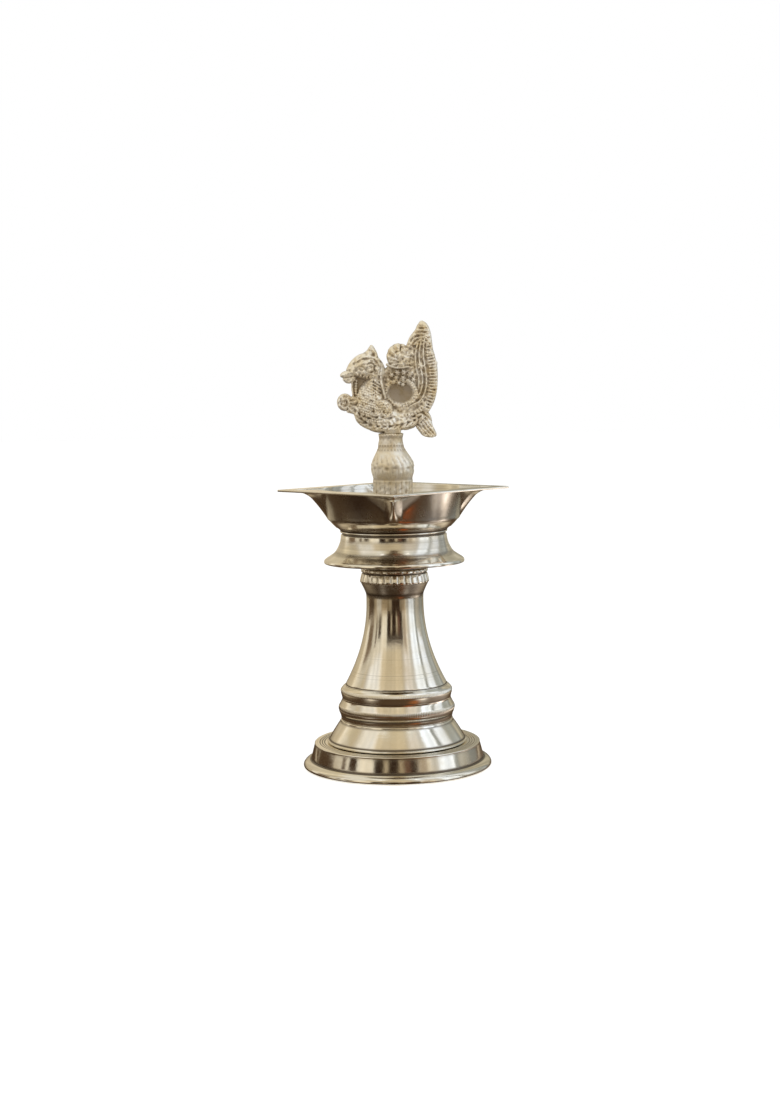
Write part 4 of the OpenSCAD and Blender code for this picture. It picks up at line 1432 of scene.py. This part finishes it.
    def hem(self, cast: ReliefMap) -> None:
        """Band of overlapping leaves along the underside, from the breast to the tail's root.

        Args:
            cast: Map that gets the relief.
        """
        run, off = cast.along(spline([[-12.7, 134.6], [-11.6, 132.2], [-8.4, 130.2], [-4.0, 129.4],
                                      [0.8, 129.6], [4.8, 130.4], [8.4, 131.4], [11.0, 133.0]], 6))
        leaves = np.abs(np.sin(math.pi * (run + 1.3 * np.abs(off - 0.3)) / 2.4)) ** 0.8
        thick = np.interp(run, [0, 3, 9, 24], [3.6, 5.0, 5.9, 3.0])
        cast.raise_to(cast.crown(1.8 - np.abs(off), 0.8, thick - 1.0 * (1 - leaves)), 0.15)
        cast.press(0.6 * np.exp(-((np.abs(off - 0.3) - 0.1) / 0.2) ** 2) * (np.abs(off) < 1.7))

    def lobe(self, cast: ReliefMap) -> None:
        """Shell-shaped lobe: ribs fan out on its left, small bosses fill its right.

        Args:
            cast: Map that gets the relief.
        """
        x, z = cast.x - 3.1, cast.z - 156.3
        far = np.hypot(x / 4.75, z / 5.1)
        body = cast.crown((1 - far) * 4.8, 2.2, 2.45)
        turn = np.arctan2(z + 2.0, x - 1.2)
        ribs = (np.cos(turn * 13.5) * 0.5 - 0.2) * ((far > 0.35) & (x < 0.3 + 0.2 * z))
        cast.raise_to(body + np.where(body > 0.3, ribs, 0), 0.15)
        cast.tube([[-1.4, 153.3], [0.4, 152.4], [3.2, 152.0], [6.8, 152.4]], 0.55, 2.7, 0.12)
        cast.tube([[3.4, 160.6], [3.2, 157.6], [3.4, 153.4]], 0.4, 2.75, 0.12)
        for bx, bz, r in ((5.5, 160.2, 0.85), (7.0, 158.9, 0.85), (5.6, 158.3, 0.75), (7.2, 157.0, 0.8),
                          (5.5, 156.5, 0.8), (7.3, 155.2, 0.75), (5.7, 154.6, 0.8), (7.4, 153.6, 0.7)):
            cast.knob(bx - 0.8, bz, r, 3.1, 0.12)

    def floret(self, cast: ReliefMap, x: float, z: float, r: float, height: float, petals: int = 6) -> None:
        """Small flower: a centre boss and petals round it.

        Formula: the petals' edge is r times (0.86 + 0.14 cos of petals times the angle), and a
        groove rings the centre.

        Args:
            cast: Map that gets the flower.
            x: Place across.
            z: Height.
            r: Radius.
            height: Half thickness of the petals.
            petals: Number of petals.
        """
        dx, dz = cast.x - x, cast.z - z
        far, turn = np.hypot(dx, dz), np.arctan2(dz, dx)
        edge = r * (0.86 + 0.14 * np.cos(petals * turn))
        groove = 0.45 * np.exp(-((far - 0.48 * r) / (0.16 * r)) ** 2)
        cast.raise_to(cast.crown(edge - far, 0.6 * r, height) - np.where(far < r, groove, 0), 0.1)

    def florets(self, cast: ReliefMap) -> None:
        """Flowers over the window, the rosette on the border and the knob at its edge.

        Args:
            cast: Map that gets the relief.
        """
        for x, z, r in ((-0.7, 147.3, 1.05), (0.7, 149.2, 1.1), (2.9, 150.2, 1.15), (5.3, 150.3, 1.15),
                        (7.6, 149.3, 1.1), (9.0, 147.4, 1.0), (2.4, 148.1, 1.1), (5.0, 147.9, 1.2),
                        (6.9, 147.0, 1.0), (3.3, 146.3, 1.0), (4.9, 145.6, 0.9), (0.8, 146.6, 0.95)):
            self.floret(cast, x - 0.5, z, 1.15 * r, 3.0)
        self.floret(cast, 11.5, 152.6, 1.6, 2.9, 5)
        self.floret(cast, 15.0, 157.6, 1.55, 2.9, 8)
        cast.knob(17.0, 153.6, 0.85, 2.3)
        cast.knob(14.2, 161.0, 0.7, 2.3)

    def body(self, cast: ReliefMap) -> None:
        """Body, neck and head as one loft, pebbled on the breast and barred on the neck.

        Args:
            cast: Map that gets the relief.
        """
        rows = spline([[7.0, 132.0, 2.15, 2.15], [3.0, 131.5, 3.6, 3.5], [-2.0, 132.5, 5.5, 5.1],
                       [-6.0, 134.8, 7.1, 5.9], [-8.0, 139.3, 6.2, 5.8], [-7.3, 143.8, 4.7, 4.75],
                       [-5.9, 147.4, 3.4, 3.65], [-6.6, 150.6, 4.6, 4.2], [-9.2, 152.7, 5.4, 4.8],
                       [-12.3, 152.3, 4.1, 3.7], [-14.6, 151.1, 2.7, 2.5]], 6)
        half = np.full_like(cast.x, -9.0)
        for (ax, az, aw, at), (bx, bz, bw, bt) in zip(rows[:-1], rows[1:]):
            dx, dz = bx - ax, bz - az
            t = np.clip(((cast.x - ax) * dx + (cast.z - az) * dz) / (dx * dx + dz * dz), 0, 1)
            far = np.hypot(cast.x - ax - t * dx, cast.z - az - t * dz)
            width = (aw + (bw - aw) * t) * 0.97
            half = np.maximum(half, cast.crown(width - far, width, at + (bt - at) * t))
        cast.raise_to(half, 0.35)
        on_body = half > 0.6
        breast = on_body & (cast.x < -5.6) & (cast.z < 147.0) & (cast.z > 131)
        cast.press(np.where(breast, 0.35 - 1.35 * cast.pebbles(1.12, 1.0, 0.35, 0.56), 0))
        neck = on_body & (cast.x > -7.0) & (cast.x < -3.9) & (cast.z > 141.6) & (cast.z < 147.2)
        bars = np.cos(TAU * (0.55 * cast.x + 0.83 * cast.z) / 1.05)
        cast.press(np.where(neck, 0.3 - 0.45 * bars, 0))

    def wing(self, cast: ReliefMap) -> None:
        """Pebbled wing that ends in a scroll, with a deep crease under it.

        Args:
            cast: Map that gets the relief.
        """
        inside = cast.inside([[-6.8, 139.4], [-4.0, 140.3], [-1.6, 139.7], [0.3, 137.6], [0.5, 134.8],
                              [-1.4, 133.2], [-4.4, 133.4], [-6.4, 135.6]], 6)
        pebble = np.where(inside > 0.3, 1.3 * cast.pebbles(1.05, 0.95, 0, 0.5), 0)
        cast.raise_to(cast.crown(inside, 1.0, 5.55) + pebble, 0.2)
        far = np.hypot(cast.x + 2.5, cast.z - 134.6)
        cast.raise_to(cast.crown(0.7 - np.abs(far - 1.55), 0.7, 6.0), 0.12)
        cast.knob(-2.5, 134.6, 0.65, 6.0, 0.1)
        run, off = cast.along(spline([[-10.8, 134.0], [-8.8, 133.0], [-6.8, 133.3], [-4.2, 133.4],
                                      [-1.4, 132.8], [1.0, 133.2]], 6))
        cast.press(1.3 * np.exp(-(off / 0.4) ** 2) * (run > 0.2) * (0.65 + 0.35 * np.cos(TAU * run / 2.6)))
        cast.press(1.6 * np.exp(-(((cast.x + 7.0) / 0.5) ** 2 + ((cast.z - 135.2) / 0.9) ** 2)))

    def head(self, cast: ReliefMap) -> None:
        """Crest, brow, spiral cheek and ear, eye, beaded chin, bill and the ribbon behind the neck.

        Args:
            cast: Map that gets the relief.
        """
        crest = cast.inside([[-14.0, 153.8], [-11.3, 157.2], [-9.2, 158.9], [-7.3, 161.0],
                             [-5.5, 158.4], [-4.6, 155.6], [-2.9, 152.6], [-6.4, 150.6],
                             [-11.0, 151.0]])
        cast.raise_to(cast.crown(crest, 0.9, 1.7), 0.25)
        spread = np.arctan2(cast.x + 8.2, cast.z - 150.0)
        plume = (crest > 0.4) & (cast.z > 155.8)
        cast.press(np.where(plume, -0.4 - 0.5 * np.cos(17 * spread), 0))
        cast.tube([[-13.2, 154.6], [-11.0, 155.9], [-8.2, 156.3], [-5.6, 155.4],
                   [-4.2, 153.2]], 0.65, 4.6, 0.1)
        cast.knob(-13.2, 152.9, 1.45, 4.1, 0.12)
        for x, z, r in ((-8.0, 152.4, 1.9), (-5.3, 151.8, 1.25)):
            far, turn = np.hypot(cast.x - x, cast.z - z), np.arctan2(cast.z - z, cast.x - x)
            cast.raise_to(cast.crown(r - far, 0.8, 5.5), 0.1)
            cast.press(np.where(far < r + 0.3, 0.15 - 0.3 * np.cos(TAU * far / 1.2 + turn), 0))
        socket = np.hypot(cast.x + 11.2, cast.z - 152.0)
        cast.press(0.6 * np.exp(-((socket - 0.75) / 0.3) ** 2))
        for share in np.linspace(0, 1, 8):
            cast.knob(-12.8 + 8.2 * share, 149.5 - 1.0 * math.sin(math.pi * share), 0.62, 4.9, 0.08)
        upper = cast.inside([[-13.4, 152.3], [-16.0, 151.6], [-18.6, 150.7], [-19.6, 149.5],
                             [-18.9, 148.6], [-17.0, 148.5], [-15.0, 148.8], [-13.0, 149.2]])
        lower = cast.inside([[-13.4, 149.4], [-15.4, 149.1], [-18.0, 148.8], [-18.6, 147.8],
                             [-17.1, 146.4], [-15.0, 146.5], [-13.4, 147.6]])
        cast.raise_to(cast.crown(upper, 1.5, 2.9), 0.1)
        cast.raise_to(cast.crown(lower, 0.9, 2.0), 0.06)
        cast.tube([[-3.9, 150.2], [-4.0, 148.2], [-3.6, 145.6], [-2.9, 142.6],
                   [-2.4, 140.6]], 0.75, 4.5, 0.12)

    def breast(self, cast: ReliefMap) -> None:
        """String of beads, the web behind it, and the volute with its leaf at the breast.

        Args:
            cast: Map that gets the relief.
        """
        web = cast.inside([[-14.6, 140.4], [-14.9, 144.6], [-14.8, 148.4], [-9.4, 149.6], [-6.8, 147.0],
                           [-9.0, 142.0]])
        cast.raise_to(np.minimum(web, self.web_half), 0.05)
        cast.tube([[-14.8, 147.6], [-15.0, 144.6], [-14.6, 141.4]], 0.35, 1.5, 0.08)
        for z in np.arange(140.2, 148.0, 1.02):
            cast.knob(-13.2 - 0.35 * math.sin((z - 140) / 8 * math.pi), z, 0.62, 2.2, 0.08)
        leaf = cast.inside([[-17.4, 135.9], [-15.6, 134.8], [-13.0, 134.4], [-11.4, 136.6],
                            [-12.2, 139.6], [-13.8, 141.2], [-15.6, 141.0]])
        dx, dz = cast.x + 17.9, cast.z - 139.1
        far, turn = np.hypot(dx, dz / 1.1), np.arctan2(dz, dx)
        shape = cast.crown(leaf, 0.9, 2.7)
        cast.raise_to(shape + np.where(shape > 0.6, 0.4 * np.cos(13 * turn), 0), 0.12)
        shape = cast.crown(3.05 - far, 1.3, 2.7)
        cast.raise_to(shape + np.where(shape > 0.6, 0.4 * np.cos(TAU * far / 1.6 + turn) - 0.2, 0), 0.1)

    def feather(self, cast: ReliefMap) -> None:
        """Feather that hangs from the tail's root, ridged along its length.

        Args:
            cast: Map that gets the relief.
        """
        leaf = cast.inside([[9.5, 133.4], [12.9, 135.6], [15.0, 133.2], [15.6, 129.8], [17.1, 126.2],
                            [15.5, 125.1], [12.2, 125.6], [10.3, 127.6], [8.9, 130.0]])
        shape = cast.crown(leaf, 0.8, 1.5)
        off = cast.along(spline([[9.6, 132.6], [11.6, 131.2], [13.2, 128.8], [15.6, 126.2]], 6))[1]
        ridges = 0.28 * np.cos(TAU * off / 1.15)
        cast.raise_to(shape + np.where(shape > 0.6, ridges, 0), 0.2)

    def pad(self, cast: ReliefMap) -> None:
        """Square pad by which the bird stands on the neck.

        Args:
            cast: Map that gets the relief.
        """
        across = cast.crown(3.2 - np.abs(cast.x - 0.2), 0.5, 4.4)
        upward = cast.crown(1.1 - np.abs(cast.z - 128.0), 0.3, 4.4)
        cast.raise_to(np.minimum(across, upward), 0.1)

    def make(self, finishes: Finishes) -> None:
        """Builds the map, takes its skin and makes the piece.

        Args:
            finishes: Shared finishes.
        """
        cast = ReliefMap(self.across, self.upward, self.step)
        for part in (self.tail, self.feather, self.ring, self.lobe, self.florets, self.body, self.wing,
                     self.hem, self.breast, self.head):
            part(cast)
        cast.grain(0.17, 0.11)
        cast.grain(0.35, 0.12)
        self.pad(cast)
        points, faces = cast.skin(self.thickest, self.net)
        points = relaxed(points, faces, 0.35, 2)
        depth = cast.sample(cast.hollows(), points)
        # Painted shade: the thin webs that fill the two openings are darkened, as if dark showed through
        # them.
        depth += np.where(cast.sample(cast.half, points) < self.web_half + 0.12, 0.85, 0)
        # Painted shade and painted highlights: soft spots darken the casting with the tarnish brown, or
        # lighten it where the amount is negative.
        for x, z, reach, amount in self.painted_shade_and_highlights:
            far = (points[:, 0] - x) ** 2 + (points[:, 2] - z) ** 2
            depth += amount * np.exp(-far / reach ** 2)
        depth = np.clip(depth, 0, 1)
        bird = make_piece("bird_casting", points, faces, Body.FINIAL, finishes.cast,
                          ("bird",), depth)
        thin = bird.modifiers.new("fewer_faces", "DECIMATE")
        thin.ratio = self.kept_faces


# Stage

@dataclass(frozen=True)
class RoomPatch:
    """One soft-edged part of the room that the metal mirrors.

    Attributes:
        azimuth: Middle of the patch, in degrees to the right of the camera as seen from the lamp.
        half_width: Half of its width, in degrees.
        low: Lowest elevation, in degrees.
        high: Highest elevation, in degrees.
        colour: Colour that it shows.
        strength: Brightness, where 1 shows the colour as it is.
        soft: Width of its upright edges, in degrees.
    """

    azimuth: float
    half_width: float
    low: float
    high: float
    colour: str
    strength: float = 1.0
    soft: float = 2.5


@dataclass(frozen=True)
class Glint:
    """One drawn-out soft spot on the table top that the metal mirrors.

    Attributes:
        x: Place of its middle to the right of the lamp's axis, in metres.
        y: Place of its middle behind the lamp's axis, in metres.
        length: Reach of its bell curve along its own line, in metres.
        width: Reach of its bell curve across that line, in metres.
        lean: Angle from the x axis to its line, in degrees.
        colour: Colour that it shows.
        strength: Brightness, where 1 shows the colour as it is.
    """

    x: float
    y: float
    length: float
    width: float
    lean: float
    colour: str
    strength: float = 1.0


@dataclass
class Studio:
    """Camera, lamps, pale floor, and the brown room that the polished metal mirrors.

    The photograph shows the lamp cut out on white, but its metal still mirrors a room: a dark
    table below, a cream ceiling, and upright bands of brown, tan and window white. The dome and
    the table top here are stage pieces that only reflections see.

    Attributes:
        distance: Distance from the lamp's axis to the camera, in metres.
        eye_height: Height of the camera, in metres.
        aside: Place of the camera to the right of the axis, in metres.
        lens: Focal length, in mm.
        shift: Upward shift of the picture, in shares of its larger side.
        lean: Roll of the camera, in degrees.
        patches: Patches of the mirrored room, each laid over the ones before it.
        room_r: Radius of the mirrored room, in metres.
        table_r: Radius at which the mirrored table top starts, in metres.
        glints: Spots of the mirrored table top, each laid over the ones before it.
    """

    distance: float = 0.662
    eye_height: float = 0.1466
    aside: float = -0.00048
    lens: float = 56.08
    shift: float = -0.1552
    lean: float = 0.963
    patches: tuple[RoomPatch, ...] = (
        RoomPatch(180, 70, 46, 95, "#ece3cd", soft=16),
        RoomPatch(180, 62, 22, 48, "#e2d5ba", soft=20),
        RoomPatch(-100, 75, 52, 95, "#ece7d8", soft=16),
        RoomPatch(92, 68, 52, 95, "#e4e6e2", soft=16),
        RoomPatch(-125, 32, 24, 52, "#e0d3b6", soft=12),
        RoomPatch(-65, 20, 28, 54, "#f6f1e6", soft=12),
        RoomPatch(-12, 32, 28, 52, "#d5c5a6", soft=9),
        RoomPatch(34, 12, 28, 52, "#dcd4c8", soft=9),
        RoomPatch(-150, 26, -1, 28, "#d2c2a4"),
        RoomPatch(-108, 18, -1, 8, "#5d4833"),
        RoomPatch(-66, 10, -1, 10, "#e6dcc9"),
        RoomPatch(-37, 14, -1, 10, "#a8926f"),
        RoomPatch(3, 16, -1, 13, "#37261a"),
        RoomPatch(29, 7, -1, 10, "#a08c70"),
        RoomPatch(-150, 30, 9, 30, "#dacbae", soft=6),
        RoomPatch(-4, 120, 8, 28, "#e8dec9", soft=6),
        RoomPatch(-100, 11, 9, 22, "#86715a"),
        RoomPatch(-74, 3, 8, 22, "#4f3b28"),
        RoomPatch(-60, 5.5, 8, 20, "#3c2a1a"),
        RoomPatch(-2, 29, 6, 26, "#2f2015"),
        RoomPatch(-15, 2.5, 9, 20, "#c9b797"),
        RoomPatch(5, 2.5, 9, 20, "#c9b797"),
        RoomPatch(12.5, 3.5, 9, 20, "#6f5040"),
        RoomPatch(34, 5, 9, 28, "#a39480"),
        RoomPatch(114, 4, -1, 20, "#77716a"),
        RoomPatch(50, 8, -1, 54, "#dcd6ca"),
        RoomPatch(67, 12, -1, 64, "#f0f7ff", 1.3),
        RoomPatch(83, 4, -1, 88, "#8f928d"),
        RoomPatch(98, 11, 14, 62, "#f0f6fd", 1.15),
        RoomPatch(98, 11, -1, 14, "#bdb9ad"),
        RoomPatch(124, 15, -1, 60, "#aeb1ac", soft=6),
        RoomPatch(160, 22, -1, 52, "#b4ad98", soft=6),
        RoomPatch(-30, 3.5, 60, 64, "#ffffff", 3.0),
        RoomPatch(34, 3.5, 58, 62, "#ffffff", 3.0),
    )
    room_r: float = 0.36
    table_r: float = 0.0375
    glints: tuple[Glint, ...] = (
        Glint(-0.17, -0.1, 0.16, 0.12, 60, "#38271a"),
        Glint(0.02, -0.2, 0.1, 0.05, 0, "#46341f"),
        Glint(-0.096, 0.065, 0.075, 0.016, 90, "#cdbc9f"),
        Glint(0.096, 0.085, 0.06, 0.018, 90, "#dccdb2"),
        Glint(0.19, -0.05, 0.08, 0.018, -14, "#e4dad0", 1.6),
        Glint(0.22, 0.034, 0.09, 0.036, 10, "#f0e4da", 3.6),
        Glint(-0.088, -0.092, 0.03, 0.03, 0, "#3a2818"),
        Glint(0.092, -0.09, 0.028, 0.028, 0, "#59422e"),
        Glint(0.068, -0.158, 0.034, 0.021, -66, "#c95f22", 1.7),
        Glint(-0.058, -0.05, 0.013, 0.013, 0, "#e2d6c2", 1.4),
        Glint(0.058, -0.049, 0.014, 0.013, 0, "#f2e8da", 1.5),
        Glint(0.032, -0.048, 0.01, 0.007, 0, "#b26a38", 0.8),
    )

    def camera(self) -> None:
        """Camera at the photograph's height and distance, with its slight lean."""
        data = bpy.data.cameras.new("camera")
        data.sensor_fit, data.sensor_width, data.lens = "AUTO", 36.0, self.lens
        data.shift_y = self.shift
        data.clip_start, data.clip_end = 0.01, 20.0
        camera = put("camera", data)
        camera.location = (self.aside, -self.distance, self.eye_height)
        camera.rotation_euler = (math.radians(90), math.radians(self.lean), 0)
        bpy.context.scene.camera = camera

    def floor(self) -> None:
        """Plain pale floor that keeps the lamp's soft shadow and shows white around it."""
        mesh = bpy.data.meshes.new("floor")
        mesh.from_pydata([(-4, -4, 0), (4, -4, 0), (4, 4, 0), (-4, 4, 0)], [], [(0, 1, 2, 3)])
        floor = put("floor", mesh)
        material, tree = new_tree("pale_paper_floor")
        share = add(tree, "ShaderNodeMath", {"operation": "MULTIPLY"}, i0=seen_or_mirrored(tree), i1=0.6)
        # The glow makes up what the paper's own shade leaves short of white, away from the shadow.
        paper = add(tree, "ShaderNodeBsdfDiffuse", Color=linear("#f2f1ee"))
        white = add(tree, "ShaderNodeEmission", Color=(1, 1, 1, 1), Strength=1.38)
        mixed = add(tree, "ShaderNodeMixShader", i0=share, i1=paper, i2=white)
        add(tree, "ShaderNodeOutputMaterial", Surface=mixed)
        mesh.materials.append(material)

    def mirror_only(self, name: str, points: np.ndarray, tone: np.ndarray) -> None:
        """Stage piece that glows with a colour at each vertex and that only reflections see.

        Args:
            name: Name of the piece.
            points: Grid of vertices in metres.
            tone: Linear colour of each vertex.
        """
        mesh = bpy.data.meshes.new(name)
        mesh.from_pydata(points.reshape(-1, 3).astype(np.float32), [],
                         grid_faces(*points.shape[:2], closed=False))
        colour = tone.reshape(-1, 3)
        paint = np.hstack([colour, np.ones((len(colour), 1))]).astype(np.float32)
        mesh.attributes.new("paint", "FLOAT_COLOR", "POINT").data.foreach_set("color", paint.ravel())
        material, tree = new_tree(name + "_paint")
        coat = add(tree, "ShaderNodeAttribute", {"attribute_name": "paint"})
        glow = add(tree, "ShaderNodeEmission", Color=coat.outputs["Color"], Strength=1.0)
        add(tree, "ShaderNodeOutputMaterial", Surface=glow)
        material.cycles.emission_sampling = "NONE"
        mesh.materials.append(material)
        piece = put(name, mesh)
        piece.visible_camera = piece.visible_diffuse = piece.visible_shadow = False
        piece.visible_transmission = piece.visible_volume_scatter = False

    def room(self) -> None:
        """Dome of the mirrored room.

        Formula: a half sphere by azimuth and elevation; from a cream that pales upwards, each
        patch pulls the colour towards its own by the product of two soft-edged steps, the lowest
        seven degrees darken towards the table, and upright streaks lighten or darken it by a
        tenth: random numbers of a fixed seed, averaged over 3 and over 9 degrees.
        """
        azimuth = np.radians(np.linspace(-180, 180, 361))[None, :]
        elevation = np.radians(np.linspace(0, 90, 97))[:, None]
        points = np.stack([np.cos(elevation) * np.sin(azimuth), -np.cos(elevation) * np.cos(azimuth),
                           np.sin(elevation) + 0 * azimuth], -1) * self.room_r
        up = np.degrees(elevation) + 0 * azimuth
        side = np.degrees(azimuth) + 0 * elevation
        pale = np.clip((up - 18) / 45, 0, 1)[..., None]
        tone = rgb("#c8b493") * (1 - pale) + rgb("#dacdb0") * pale
        for patch in self.patches:
            gap = np.abs((side - patch.azimuth + 180) % 360 - 180)
            across = np.clip((patch.half_width - gap) / patch.soft + 0.5, 0, 1)
            upward = np.clip((patch.high - up) / 3 + 0.5, 0, 1) * np.clip((up - patch.low) / 3 + 0.5, 0, 1)
            share = (across * upward)[..., None]
            tone = tone * (1 - share) + rgb(patch.colour) * patch.strength * share
        tone = tone * (1 - 0.42 * np.clip((7 - up) / 5, 0, 1)[..., None])
        lots = np.random.default_rng(5).normal(size=side.shape[1])
        streaks = sum(np.convolve(lots, np.ones(width) / math.sqrt(width), "same") for width in (3, 9))
        tone = tone * (1 + 0.07 * streaks[:, None] * np.clip((75 - up) / 40, 0, 1)[..., None])
        self.mirror_only("mirrored_room", points, tone)

    def table(self) -> None:
        """Brown table top of the mirrored room, with dark and pale spots and an orange bloom.

        Formula: rings of growing radius round the lamp's foot; brown, pulled towards each spot's
        colour, times its strength, by a bell curve of the distance along and across its line.
        """
        radius = (self.table_r * (self.room_r / self.table_r) ** np.linspace(0, 1, 60))[:, None]
        angle = round_angles(120)
        x, y = radius * np.cos(angle), radius * np.sin(angle)
        tone = rgb("#574430") + 0 * x[..., None]
        for spot in self.glints:
            lean = math.radians(spot.lean)
            along = (x - spot.x) * math.cos(lean) + (y - spot.y) * math.sin(lean)
            across = (y - spot.y) * math.cos(lean) - (x - spot.x) * math.sin(lean)
            share = np.exp(-(along / spot.length) ** 2 - (across / spot.width) ** 2)[..., None]
            tone = tone * (1 - share) + rgb(spot.colour) * spot.strength * share
        self.mirror_only("mirrored_table", np.stack([x, y, 0 * x + 0.0001], -1), tone)

    def lamps(self) -> None:
        """Soft overhead panel and a fill, at a plain level, that reflections don't see."""
        for name, place, size, power in (("panel_above", (0.35, -0.55, 1.1), 0.9, 7.0),
                                         ("panel_left", (-0.9, -0.5, 0.7), 0.7, 2.5)):
            data = bpy.data.lights.new(name, "AREA")
            data.shape, data.size, data.energy = "DISK", size, power
            lamp = put(name, data)
            lamp.location = place
            lamp.visible_glossy = False
            aim = np.array([0, 0, 0.08]) - place
            lamp.rotation_euler = (math.acos(aim[2] / np.linalg.norm(aim)) - math.pi, 0,
                                   math.atan2(aim[1], aim[0]) - math.pi / 2)

    def surroundings(self) -> None:
        """White world, a little dimmer where it lights the scene than where it is seen."""
        world = bpy.data.worlds.new("white_surroundings")
        world.use_nodes = True
        tree = world.node_tree
        tree.nodes.clear()
        plain = add(tree, "ShaderNodeBackground", Color=(1, 1, 1, 1), Strength=0.75)
        white = add(tree, "ShaderNodeBackground", Color=(1, 1, 1, 1), Strength=1.0)
        mixed = add(tree, "ShaderNodeMixShader", i0=seen_or_mirrored(tree), i1=plain, i2=white)
        add(tree, "ShaderNodeOutputWorld", Surface=mixed)
        bpy.context.scene.world = world
        bpy.context.scene.view_settings.view_transform = "Standard"

    def make(self) -> None:
        """Sets up the whole studio."""
        self.camera()
        self.floor()
        self.room()
        self.table()
        self.lamps()
        self.surroundings()


def main() -> None:
    """Builds the lamp's sub-assemblies in order, then the studio."""
    logging.basicConfig(level=logging.INFO, format="%(name)s: %(message)s")
    finishes = Finishes()
    for assembly in (Stand(), Bowl(), Baluster(), Bird()):
        assembly.make(finishes)
    Studio().make()


if __name__ == "__main__":
    main()
